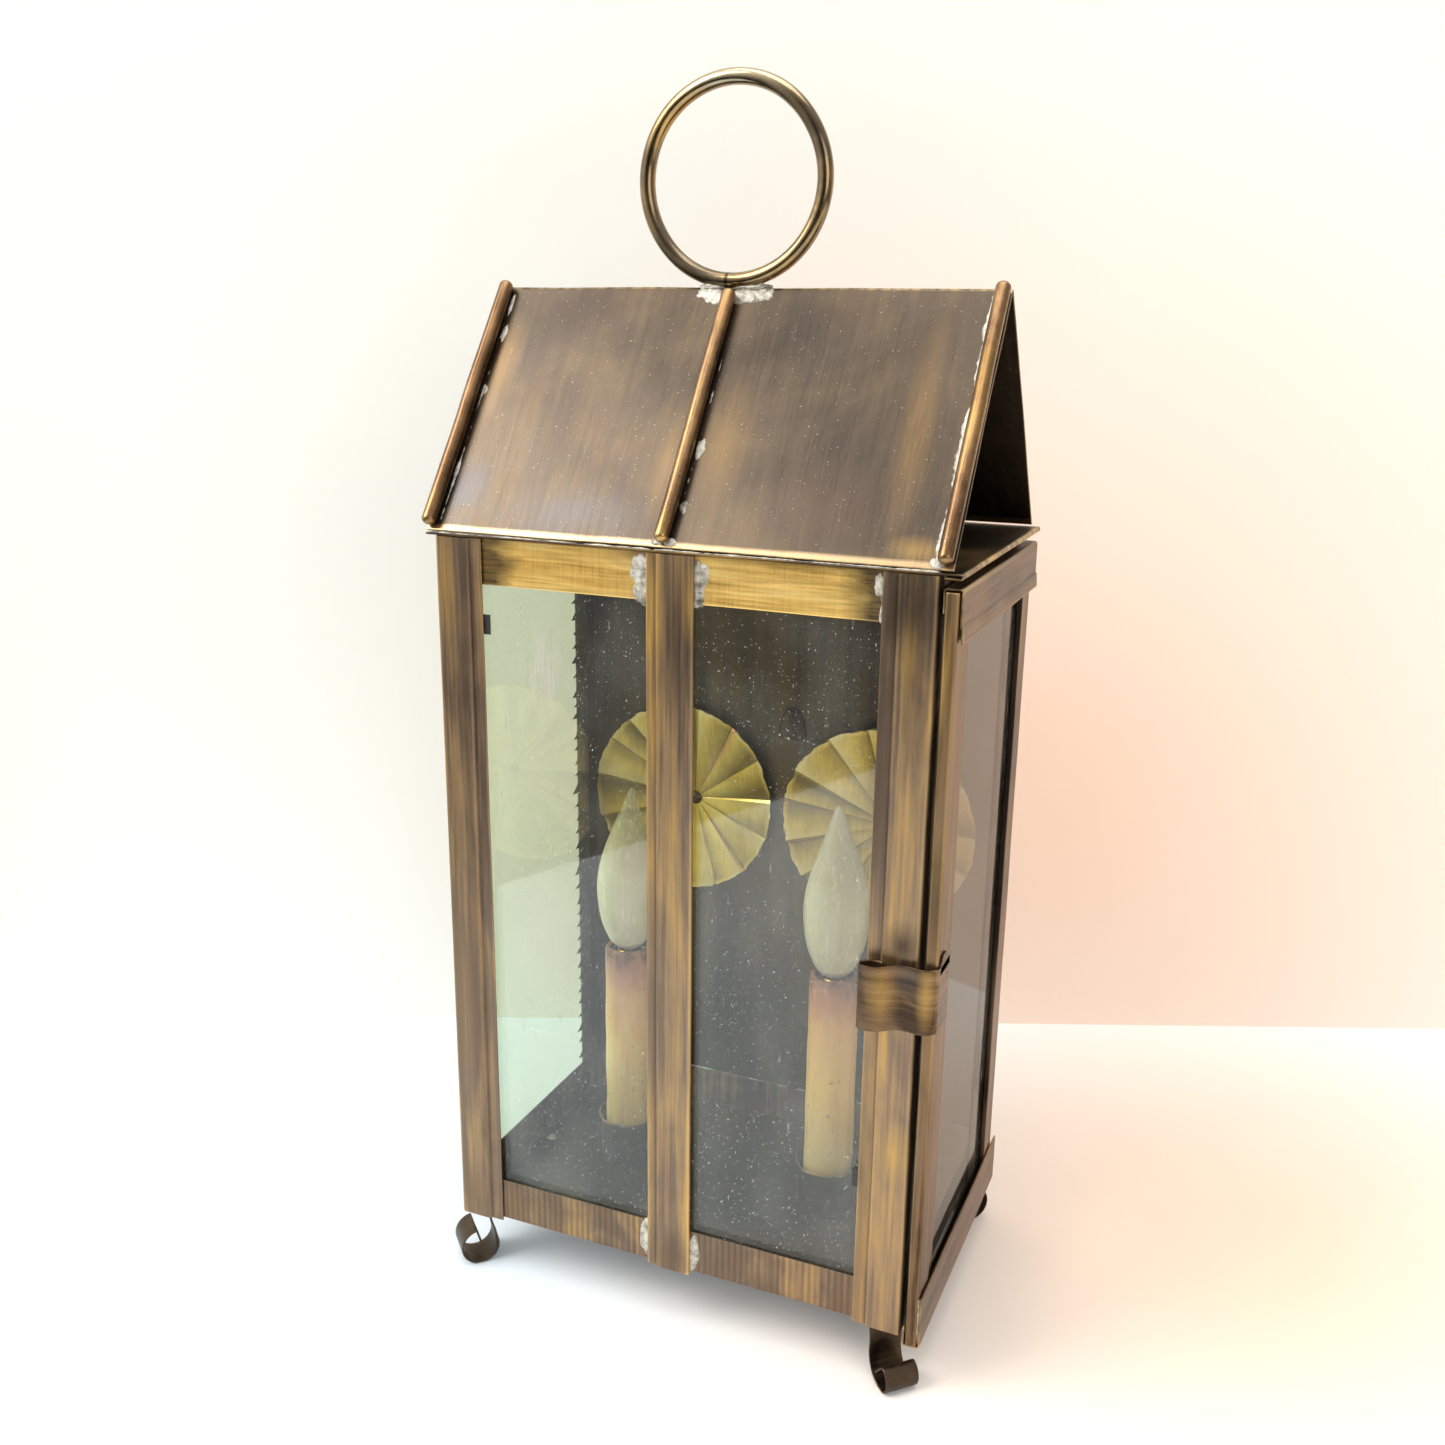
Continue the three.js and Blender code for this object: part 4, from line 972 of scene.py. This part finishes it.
# ---- Candles ----
def make_reflector(side):
    node = "reflector_" + side
    low, high = box_mm(node)
    rivet_low, rivet_high = box_mm("reflector_rivet_" + side)
    rim = Vector(((low.x + high.x) / 2, high.y, (low.z + high.z) / 2))
    hub = Vector(((rivet_low.x + rivet_high.x) / 2, high.y, (rivet_low.z + rivet_high.z) / 2))
    radius = (high.x - low.x) / 2
    rng = random.Random(5 if side == "left" else 8)
    cuts = sorted(2 * math.pi * (i + rng.uniform(-0.16, 0.16)) / PLEATS + 0.1 for i in range(PLEATS))
    lifts = [rng.uniform(0.9, 1.6) for _ in cuts]
    shades = [rng.uniform(0.35, 0.85) for _ in cuts]
    stations = []
    for i, (start, end) in enumerate(zip(cuts, cuts[1:] + [cuts[0] + 2 * math.pi])):
        for t in (0.0, 0.04, 0.12, 0.22, 0.34, 0.46, 0.58, 0.7, 0.82, 0.92, 0.985):
            stations.append((start + (end - start) * t, t, i))
    rows, width = 16, len(stations)
    layer = rows * width
    vertices, faces, worn, copper = [], [], [], []
    for face, sheet in enumerate((0.42, 0.0)):
        for r in range(rows):
            share = r / (rows - 1)
            for angle, t, pleat in stations:
                ragged = 1 + 0.014 * noise.noise(around(angle, 9, 2)) * share
                ragged -= 0.022 * rng.random() * (share > 0.99)
                out = rim + Vector((math.cos(angle), 0, math.sin(angle))) * (radius * ragged - 0.2)
                spot = hub.lerp(out, 0.02 + 0.98 * share)
                dish = 3.9 * share ** 1.6
                step = (t ** 0.8) * lifts[pleat] * min(1.0, share * 2.2) if t < 0.95 else 0.0
                depth = 0.5 + dish + step + 0.18 * noise.noise(spot / 6.0) + sheet
                vertices.append(Vector((spot.x, high.y - depth, spot.z)))
                # painted light and shade across each pleat: darker on one side, lighter on the other, bright
                # at the rim
                pleat_shading = (t - shades[pleat]) * 1.5 - 0.5 * (t in (0.0, 0.985))
                worn.append(pleat_shading * (0.3 + 0.7 * share) + 0.7 * (share > 0.99))
                glow = side == "left" and pleat == 1 and 0.9 < t < 0.95 and share > 0.15
                copper.append(0.9 if glow else 0.0)
        faces += skin(rows, width, face * layer)
    for i in range(width):
        n = (i + 1) % width
        for row in (layer - width, 0):
            faces.append((row + i, row + n, layer + row + n, layer + row + i))
    stand_in(node, "dish", vertices, faces, "reflector", sharp=22, worn=worn, copper=copper)
    head = [(0, 3.3), (1.2, 3.2), (2.2, 2.8), (3.1, 1.9), (3.6, 0.9), (3.5, 0.5), (1.6, 0.4), (1.5, 0),
            (0, 0)]

    def hammered(spot, angle, index):
        return spot * (1 + 0.06 * noise.noise(around(angle, 2, index)))

    turned("reflector_rivet_" + side, "head", head, hub - Vector((0, 0.6, 0)), "dark", sides=28,
           shape=hammered, lying=True)


def make_cup(side):
    node = "candle_cup_" + side
    centre, rim, tall = round_mm(node)
    wall = rim - 1.5
    outer = [(5.2, 0.0), (wall - 1.4, 0.0), (wall - 0.5, 0.35), (wall - 0.1, 1.3), (wall, 3),
             (wall + 0.1, tall * 0.5), (wall + 0.35, tall - 3.4), (wall + 0.8, tall - 1.6),
             (rim - 0.15, tall - 0.7), (rim, tall - 0.25)]
    lip = [(rim - 0.2, tall), (rim - 0.7, tall - 0.05), (wall + 0.1, tall - 1.1), (wall - 0.5, tall - 3.0)]
    inner = [(wall - 0.8, tall * 0.5), (wall - 0.95, 2.0), (wall - 1.6, 0.95), (5.2, 0.9)]

    def dented(spot, angle, index):
        wave = 1 + 0.012 * noise.noise(around(angle, 1.6, spot.z / 14))
        return Vector((spot.x * wave, spot.y * wave, spot.z))

    def worn(height, angle):
        # bright rim; darker at the bottom inside and out: painted shade
        return 0.8 if height > tall - 0.5 else -0.4 * (height < 1.0)

    turned(node, "spun", outer + lip + inner, centre, "cup", sides=72, shape=dented, worn=worn)


def make_sleeve(side):
    node = "candle_sleeve_" + side
    centre, outside, tall = round_mm(node)
    steps = 34
    outer = [(outside, 3 + (tall - 9) * i / steps) for i in range(steps + 1)]
    collar = [(outside - 0.35, tall - 5.0), (outside - 0.15, tall - 4.0), (outside, tall - 2.8),
              (outside - 0.25, tall - 1.3), (outside - 1.1, tall - 0.35), (outside - 2.0, tall)]
    inner = [(outside - 2.9, tall - 0.5), (outside - 3.0, tall - 2.0), (outside - 1.7, tall - 5),
             (outside - 1.6, 0.2)]
    profile = [(outside - 1.2, 0.0), (outside - 0.3, 0.4)] + outer + collar + inner

    def waxy(spot, angle, index):
        lumps = around(angle, 1.3, spot.z / 22)
        swell = 0.45 * noise.noise(lumps) + 0.14 * noise.noise(lumps * 3.1)
        grow = 1 + (swell - 0.28) / math.hypot(spot.x, spot.y)
        near_top = (spot.z / tall) ** 8
        return Vector((spot.x * grow, spot.y * grow, spot.z + (0.05 * spot.x - 0.6) * near_top))

    turned(node, "wax", profile, centre, "wax", sides=72, shape=waxy,
           height=lambda height, angle: height / tall)


def smooth_profile(points, steps=6):
    """A Catmull-Rom curve through (radius, height) points."""
    out = []
    last = len(points) - 1
    for i in range(last):
        p0, p1, p2, p3 = (Vector(points[max(0, min(last, i + k))]) for k in (-1, 0, 1, 2))
        for s in range(steps):
            t = s / steps
            spot = 0.5 * (2 * p1 + (p2 - p0) * t + (2 * p0 - 5 * p1 + 4 * p2 - p3) * t * t
                          + (3 * p1 - p0 - 3 * p2 + p3) * t ** 3)
            out.append((max(spot.x, 0.0), spot.y))
    return out + [tuple(points[-1])]


def make_bulb(side):
    node = "bulb_glass_" + side
    centre, _, height = round_mm(node)
    centre.z += 0.6
    tall = height - 0.6
    outline = [(6.6, -0.6), (8.3, 1.2), (10.8, 5), (14.4, 15), (16.2, 29), (15.5, 41), (12.6, 53), (8.8, 64),
               (5.2, 74), (2.9, 81), (1.5, 84.4), (0, tall)]
    outer = smooth_profile(outline)
    inner = [(max(r - 0.9, 0.0), h - 0.7) for r, h in outer if r > 1.3 or r == 0][::-1]
    inner[-1] = (5.7, -0.6)
    lean = 2.6 if side == "left" else -0.6

    def leaning(spot, angle, index):
        return spot + Vector((lean * max(0.0, spot.z / tall) ** 3, 0, 0))

    turned(node, "flame", outer + inner, centre, "frosted_" + side, shape=leaning,
           tip=lambda height, angle: max(0.0, height / tall))
    node = "bulb_base_" + side
    _, radius, _ = round_mm(node)
    turns, steps = 7, 6
    thread = []
    for i in range(turns * steps + 1):
        groove = 0.35 + 0.35 * math.cos(2 * math.pi * i / steps)
        thread.append((radius - groove, -15.4 + 12.6 * i / (turns * steps)))
    profile = [(0, -19), (1.6, -18.9), (2.5, -18.3), (2.8, -17.2), (4.4, -16.4)] + thread
    profile += [(5.6, -2.3), (5.5, -0.95), (0, -0.9)]
    turned(node, "thread", profile, centre, "plated", sides=48)


def make_hardware():
    """Pieces that are hidden or nearly so keep their CAD shape: (look, broken edge in mm, nodes)."""
    for look, bevel, nodes in (
        ("black", 0.3, [f"socket_{side}" for side in SIDES]),
        ("plated", 0.15, [f"nipple_{side}" for side in SIDES]),
        ("plated", 0.3, [f"locknut_{side}" for side in SIDES]),
        ("black", 0, [f"lead_{side}" for side in SIDES]),
        ("dark", 0.2, ["wiring_tray", "hinge_leaf_body_upper", "hinge_leaf_body_lower"]),
        ("door", 0.2, ["hinge_leaf_door_upper", "hinge_leaf_door_lower"]),
        ("dark", 0.12, ["hinge_pin_upper", "hinge_pin_lower"]),
        ("black", 0.2, ["cord_bushing"]),
        ("black", 0.12, ["glass_tab_front_left", "glass_tab_front_right", "glass_tab_side"]),
        ("floor_pan", 0.25, ["floor_pan"]),
        ("back", 0.25, ["back_panel"]),
    ):
        for node in nodes:
            keep_cad(node, look, bevel)


# ---- Door ----
def make_door():
    low, high = box_mm("door_front_stile")
    inner, outer = low.x + HALF, high.x - HALF
    front, seam = low.y + HALF, low.y + BAND
    lip = outer - LIP_STEP
    path = [(inner, front + 9), (inner, front), (outer, front), (outer, seam - 0.2), (lip, seam + 0.2),
            (lip, seam + 9)]
    folded("door_front_stile", "strip", path, low.z, high.z, upright, "door", wear_and_shade_scale=0.5)
    low, high = box_mm("door_rear_stile")
    rear, seam = high.y - HALF, high.y - BAND
    path = [(inner, rear - 9), (inner, rear), (outer, rear), (outer, seam), (outer - 1.6, seam)]
    folded("door_rear_stile", "strip", path, low.z, high.z, upright, "door", wear_and_shade_scale=0.3)

    low, high = box_mm("door_top_rail")
    back = low.x + HALF
    face = box_mm("door_bottom_rail")[1].x - HALF
    top, crease = high.z - HALF, high.z - 15
    path = [(back, high.z - 10), (back, top), (face, top), (face, crease), (face + 0.6, crease - 0.6),
            (face + 1, crease - 6.6)]
    folded("door_top_rail", "channel", path, low.y, high.y, along_y, "door_rail", radius=1.0)
    low, high = box_mm("door_bottom_rail")
    bottom = low.z + HALF
    path = [(face, high.z), (face, bottom), (back, bottom), (back, low.z + 10)]
    folded("door_bottom_rail", "channel", path, low.y, high.y, along_y, "door_rail", radius=1.0)


def make_latch():
    low, high = box_mm("latch_spring")
    half = LATCH_SHEET / 2
    side = high.x - half
    front = box_mm("door_front_stile")[0].y
    corner_low = low.z + LATCH_DROOP * (side - low.x)
    strip = [(side, front + BAND), (side, front - 0.6), (123.4, front - 1.7), (122, -77.8), (120.6, -78.5),
             (119, -78.9), (117, -78.7), (115, -78.1), (112.8, -77.4), (110.5, -77.1), (108.2, -77.1),
             (106, -77.5), (104, -78.6), (102, -80), (100.2, -81)]
    for i in range(29):
        angle = -1.2 - 4.2 * i / 28
        strip.append((96.2 + 5.6 * math.cos(angle), -78.2 + 3.45 * math.sin(angle)))

    def drooping(a, b, c):
        return a, b, c + LATCH_DROOP * (a - side)

    folded("latch_spring", "strip", strip, corner_low, high.z - 4, upright, "latch", thickness=LATCH_SHEET,
           radius=1.2, pitch=2.0, wobble=0.0, wear_and_shade_scale=0.6, trim=drooping)
    tab = [(1, -8), (BAND, -8), (BAND, -4), (10, 0), (5, 0), (1, -4)]
    vertices = [(x, front + y, high.z + z) for x in (side - half, side + half) for y, z in tab]
    count = len(tab)
    faces = [tuple(range(count)), tuple(range(count, 2 * count))] + skin(2, count)
    ear = build("latch_spring_ear", vertices, faces, "latch", "latch", "bright_brass")
    edges = ear.modifiers.new("edges", "BEVEL")
    edges.width = 0.2 * MM
    edges.segments = 2


# ---- Solder ----
def splats(name, spots, along, across):
    """Ragged pats of solder on a plane: each spot is (centre, half along, half across, height) in mm."""
    up = along.cross(across)
    vertices, faces = [], []
    rings, spokes = 10, 44
    for number, (centre, half_a, half_b, height) in enumerate(spots):
        centre = Vector(centre)
        base = len(vertices)
        seed = Vector((number * 5.1 + len(name), 0.3, 0.9))
        vertices.append(centre + up * height)
        for r in range(1, rings + 2):
            share = min(r, rings) / rings
            for i in range(spokes):
                out = around(2 * math.pi * i / spokes)
                reach = 1 + 0.30 * noise.noise(out * 1.3 + seed) + 0.16 * noise.noise(out * 4.1 + seed)
                a, b = out.x * half_a * reach * share, out.y * half_b * reach * share
                rise = height * math.sqrt(max(0.0, 1 - share ** 2.6))
                rough = 0.22 * height * noise.noise(Vector((a, b, number)) / 1.3)
                lift = rise + rough * (share < 1) if r <= rings else -0.4
                vertices.append(centre + along * a + across * b + up * lift)
        faces += [(base, base + 1 + i, base + 1 + (i + 1) % spokes) for i in range(spokes)]
        faces += skin(rings + 1, spokes, base + 1)
        faces.append(tuple(base + 1 + rings * spokes + i for i in range(spokes)))
    build(name, vertices, faces, "solder", sharp=60)


def crust_size(at, run, fill, seed):
    """How big a broken fillet is at a distance along its run: 0 where it is missing."""
    size = 0.5 + 0.95 * noise.noise(seed) + 0.45 * noise.noise(seed * 4.0) + (fill - 0.5) * 1.4
    size *= min(1.0, at / 2.0, (run - at) / 2.0)
    return size if size > 0.12 else 0


def crusts(name, lines, up, body="lantern"):
    """Broken fillets of solder: each line is (start, end, half width, height, how much of it is there)."""
    up = Vector(up).normalized()
    vertices, faces = [], []
    steps = 9
    for number, (start, end, half, height, fill) in enumerate(lines):
        start, end = Vector(start), Vector(end)
        run = (end - start).length
        along = (end - start).normalized()
        side = along.cross(up)
        count = int(run / 0.6)
        stations = [run * k / count for k in range(count + 1)]
        seed = number * 7.3 + len(name)
        sizes = [crust_size(at, run, fill, Vector((at / 9.0, seed, 0.4))) for at in stations]
        rows = []
        for at, before, size, after in zip(stations, [0] + sizes, sizes, sizes[1:] + [0]):
            if not size or not (before or after):
                rows.append(None)
                continue
            row = []
            for i in range(steps):
                angle = math.pi * i / (steps - 1)
                lump = 1 + 0.2 * noise.noise(Vector((at / 1.4, i * 0.7, number)))
                a = math.cos(angle) * half * size * lump
                b = math.sin(angle) * height * (0.4 + 0.6 * size) * lump - 0.25
                row.append(len(vertices))
                vertices.append(start + along * at + side * a + up * b)
            rows.append(row)
        for before, row, after in zip([None] + rows, rows, rows[1:] + [None]):
            if row and after:
                faces += [(row[i], row[i - steps + 1], after[i - steps + 1], after[i]) for i in range(steps)]
            if row and not (before and after):
                faces.append(tuple(row))
    build(name, vertices, faces, "solder", body, sharp=60)


def solder_lumps(name, lumps):
    """Rounded lumps, each (centre, half sizes) in mm, with a noisy skin."""
    vertices, faces = [], []
    for number, (centre, half) in enumerate(lumps):
        b = bmesh.new()
        bmesh.ops.create_icosphere(b, subdivisions=4, radius=1.0)
        base = len(vertices)
        seed = Vector((number * 3.7 + len(name), 1.3, 0.7))
        for v in b.verts:
            swell = 1 + 0.3 * noise.noise(v.co * 1.7 + seed) + 0.15 * noise.noise(v.co * 4.5 + seed)
            vertices.append(Vector(centre) + Vector([c * h * swell for c, h in zip(v.co, half)]))
        faces += [tuple(base + v.index for v in f.verts) for f in b.faces]
        b.free()
    build(name, vertices, faces, "solder", sharp=60)


def solder_roof():
    foot, apex = roof_line()
    slope = Vector((0, apex[0] - foot[0], apex[1] - foot[1]))
    unit = slope.normalized()
    sideways = Vector((1, 0, 0))
    out = sideways.cross(unit)

    def on_slope(x, share):
        return Vector((x, foot[0], foot[1])) + slope * share + out * 0.35

    def pats(name, spots):
        splats(name, [(on_slope(x, share), *size) for x, share, *size in spots], sideways, unit)

    def fillet(x, low, high, *size):
        return (on_slope(x, low), on_slope(x, high), *size)

    def middle_x(node):
        low, high = box_mm(node)
        return (low.x + high.x) / 2

    ring = middle_x("ring_handle")
    left, middle, right = (middle_x("roof_rod_" + place) for place in ("left", "middle", "right"))
    pats("solder_ring", [
        (ring - 10, 0.972, 7.0, 3.6, 1.0),
        (ring - 7, 0.952, 5.0, 3.4, 0.9),
        (ring + 9, 0.962, 9.0, 4.2, 1.1),
        (ring + 16, 0.970, 4.5, 3.8, 0.8),
        (ring + 5, 0.950, 3.0, 2.4, 0.8),
    ])
    solder_lumps("solder_ridge", [
        ((ring - 8, 0, RIDGE), (7.5, 2.4, 1.8)),
        ((ring + 8, 0, RIDGE), (9.5, 2.4, 1.8)),
    ])
    crusts("solder_rods", [
        fillet(left + 3.6, 0.0, 0.97, 1.0, 0.7, 0.45),
        fillet(middle - 3.4, 0.0, 0.9, 0.5, 0.5, 0.45),
        fillet(middle + 3.6, 0.0, 0.72, 1.1, 0.6, 0.40),
        fillet(right - 3.7, 0.0, 0.98, 1.5, 1.3, 0.75),
        fillet(left - 2.9, 0.30, 0.86, 0.6, 0.8, 0.35),
    ], out)
    pats("solder_rod_pats", [
        (middle + 5.0, 0.365, 2.0, 5.0, 0.5),
        (middle + 4.8, 0.15, 1.8, 3.2, 0.5),
        (left + 4.8, 0.80, 1.3, 5.0, 0.4),
        (left + 4.8, 0.56, 1.2, 2.4, 0.4),
        (middle + 3.0, 0.02, 3.0, 2.0, 1.0),
        (middle - 3.0, 0.02, 2.6, 1.8, 0.9),
        (right - 4.0, 0.02, 3.0, 2.4, 1.1),
    ])


def solder_body():
    sideways, forward, upwards = (Vector(axis) for axis in ((1, 0, 0), (0, -1, 0), (0, 0, 1)))
    rail = box_mm("front_top_rail")[0]
    face = rail.y + 0.1
    pan_low, pan_high = box_mm("floor_pan")
    low, high = box_mm("front_muntin")
    splats("solder_rail", [
        ((low.x - 2.6, face, rail.z + 13), 6.0, 6.5, 1.2),
        ((low.x - 1.8, face, rail.z + 4), 5.4, 6.5, 1.1),
        ((high.x + 2.0, face, rail.z + 12), 4.0, 7.5, 1.1),
        ((high.x + 1.4, face, rail.z + 3), 3.0, 4.5, 0.9),
        ((90.6, face, rail.z + 15), 2.4, 5.0, 0.9),
    ], sideways, upwards)
    splats("solder_chip", [((-105.8, 0.8, 29.3), 3.0, 2.8, 1.2)], sideways, -forward)
    splats("solder_pan", [
        ((low.x - 0.6, pan_low.y + 0.1, 41.0), 3.6, 11.0, 0.9),
        ((high.x + 1.2, pan_low.y + 0.1, 38.0), 3.4, 9.5, 0.9),
    ], sideways, upwards)
    crusts("solder_posts", [
        ((91.6, face, rail.z - 1), (91.6, face, rail.z + 20), 0.8, 0.8, 0.7),
        ((-91.7, face, rail.z + 1), (-91.7, face, rail.z + 20), 0.4, 0.5, 0.4),
    ], forward)
    crusts("solder_eaves", [((-114, -74.3, 373.7), (116, -74.3, 373.7), 0.45, 0.35, 0.6)], (0, -1, 0.3))
    x, y = box_mm("door_front_stile")[1].x, box_mm("door_front_stile")[0].y + 1
    crusts("solder_door", [((x, y, 25.5), (x, y, 50), 0.7, 0.6, 0.9)], (0.8, -0.6, 0), "door")
    y, z = box_mm("back_panel")[1].y - 2.2, pan_high.z
    crusts("solder_back_seam", [((-108, y, z), (108, y, z), 0.6, 0.5, 0.42)], (0, -0.6, 0.8))


# ---- Studio ----
HEADING = -0.4008
PITCH = -0.2746
ROLL = 0.0125
CAMERA = Vector((0.2509, -0.60683, 0.46579))
WALL_AHEAD = 0.895  # distance from the camera to the back wall, m
AHEAD = Vector((math.sin(HEADING), math.cos(HEADING), 0))
RIGHT = Vector((math.cos(HEADING), -math.sin(HEADING), 0))


def make_camera():
    forward = AHEAD * math.cos(PITCH) + Vector((0, 0, math.sin(PITCH)))
    up = RIGHT.cross(forward)
    turned_right = RIGHT * math.cos(ROLL) + up * math.sin(ROLL)
    turned_up = up * math.cos(ROLL) - RIGHT * math.sin(ROLL)
    data = bpy.data.cameras.new("camera")
    data.sensor_width = 36
    data.lens = 35.59
    data.clip_start = 0.01
    camera = bpy.data.objects.new("camera", data)
    rotation = Matrix((turned_right, turned_up, -forward)).transposed()
    camera.matrix_world = Matrix.Translation(CAMERA) @ rotation.to_4x4()
    bpy.context.scene.collection.objects.link(camera)
    bpy.context.scene.camera = camera


def stage_plane(name, corners, material):
    mesh = bpy.data.meshes.new(name)
    mesh.from_pydata(corners, [], [(0, 1, 2, 3)])
    plane = bpy.data.objects.new(name, mesh)
    bpy.context.scene.collection.objects.link(plane)
    mesh.materials.append(material)


def stage_colour(name, cool, warm, glow_at, glow_size, glow=0.0):
    """Matt paper, cool on the left and warmer around glow_at: the warm patch is painted light coming back off
    the brass.

    glow is a little light of its own, painted light that lifts the shadows on the paper. The paper is clear
    when seen from its back.
    """
    g = Graph(name)
    near = g.window(g.vector("DISTANCE", g.place, glow_at), glow_size, glow_size * 0.1)
    colour = g.mix(g.window(g.axis("X"), -0.15, 0.5), cool, (0.92, 0.885, 0.83))
    paper = g.shader("BsdfPrincipled", {
        "Base Color": g.mix(near, colour, warm),
        "Roughness": 0.9,
        "Normal": g.bump(g.noise((90, 90, 90)), 0.05, 0.0005),
        "Specular IOR Level": 0.1,
        "Emission Color": (0.62, 0.86, 1.0, 1),
        "Emission Strength": glow,
    })
    clear = g.shader("BsdfTransparent", {})
    return g.finish(g.shader("MixShader", {0: g.geometry("Backfacing"), 1: paper, 2: clear}))


def make_world():
    """A dim room with a pale ceiling and a bright side to the left, which the metal and the glass reflect."""
    world = bpy.data.worlds.new("studio")
    bpy.context.scene.world = world
    g = Graph("studio", world)
    light = 0.02
    for direction, low, high, level in (
        ((0, 0, 1), -0.02, 0.15, 0.16),
        ((0, 0, 1), 0.3, 0.95, 0.75),
        ((-0.85, -0.35, 0.4), 0.45, 0.95, 1.1),
        ((0.9, 0.3, 0.15), 0.4, 1.0, 0.3),
    ):
        towards = g.vector("DOT_PRODUCT", g.place, Vector(direction).normalized())
        sockets = {"Value": towards, "From Min": low, "From Max": high, "To Max": level}
        lobe = g.node("ShaderNodeMapRange", sockets, interpolation_type="SMOOTHSTEP").outputs[0]
        light = g.math("ADD", lobe, light)
    g.finish(g.shader("Background", {"Color": (1.0, 0.975, 0.93, 1), "Strength": light}))


def make_studio():
    def spot(across, ahead, height=0.0):
        return Vector((CAMERA.x, CAMERA.y, height)) + RIGHT * across + AHEAD * ahead

    def edge(across, *height):
        return spot(across, WALL_AHEAD, *height)

    # both papers carry a painted warm patch of bounced light; the floor also glows a little, painted light in
    # its shadows
    wall = stage_colour("wall_paper", (0.90, 0.89, 0.84), (0.92, 0.70, 0.57), (0.10, 0.28, 0.18), 0.43)
    floor = stage_colour("floor_paper", (0.60, 0.65, 0.70), (0.80, 0.60, 0.45), (0.25, 0.10, 0.0), 0.36, 0.12)
    stage_plane("floor", [spot(-0.526, -0.7), spot(2, -0.7), edge(2), edge(-0.526)], floor)
    stage_plane("wall", [edge(-0.6), edge(2), edge(2, 1.6), edge(-0.6, 1.6)], wall)
    make_world()
    for name, place, aim, size, power, colour in (
        ("key", (-1.3, -1.1, 1.7), (0, 0, 0.2), 1.2, 39, (1.0, 0.99, 0.96)),
        ("fill", (1.5, -1.3, 0.9), (0, 0, 0.2), 1.2, 11, (1.0, 0.94, 0.88)),
        ("top", (0.1, -0.1, 2.1), (0, 0, 0.3), 1.4, 20, (1.0, 1.0, 1.0)),
    ):
        data = bpy.data.lights.new(name, "AREA")
        data.size = size
        data.energy = power
        data.color = colour
        lamp = bpy.data.objects.new(name, data)
        lamp.location = place
        lamp.rotation_euler = (Vector(aim) - Vector(place)).to_track_quat("-Z", "Y").to_euler()
        bpy.context.scene.collection.objects.link(lamp)
    bpy.context.scene.view_settings.view_transform = "Standard"


# ---- Assembly ----
make_camera()
make_studio()
make_strips()
make_panes()
make_ragged_edge()
make_hanger_cap()
make_roof()
for rod_side in ("left", "middle", "right"):
    make_rod(rod_side)
make_ring()
make_feet()
for lamp_side in SIDES:
    make_reflector(lamp_side)
    make_cup(lamp_side)
    make_sleeve(lamp_side)
    make_bulb(lamp_side)
make_hardware()
make_door()
make_latch()
solder_roof()
solder_body()
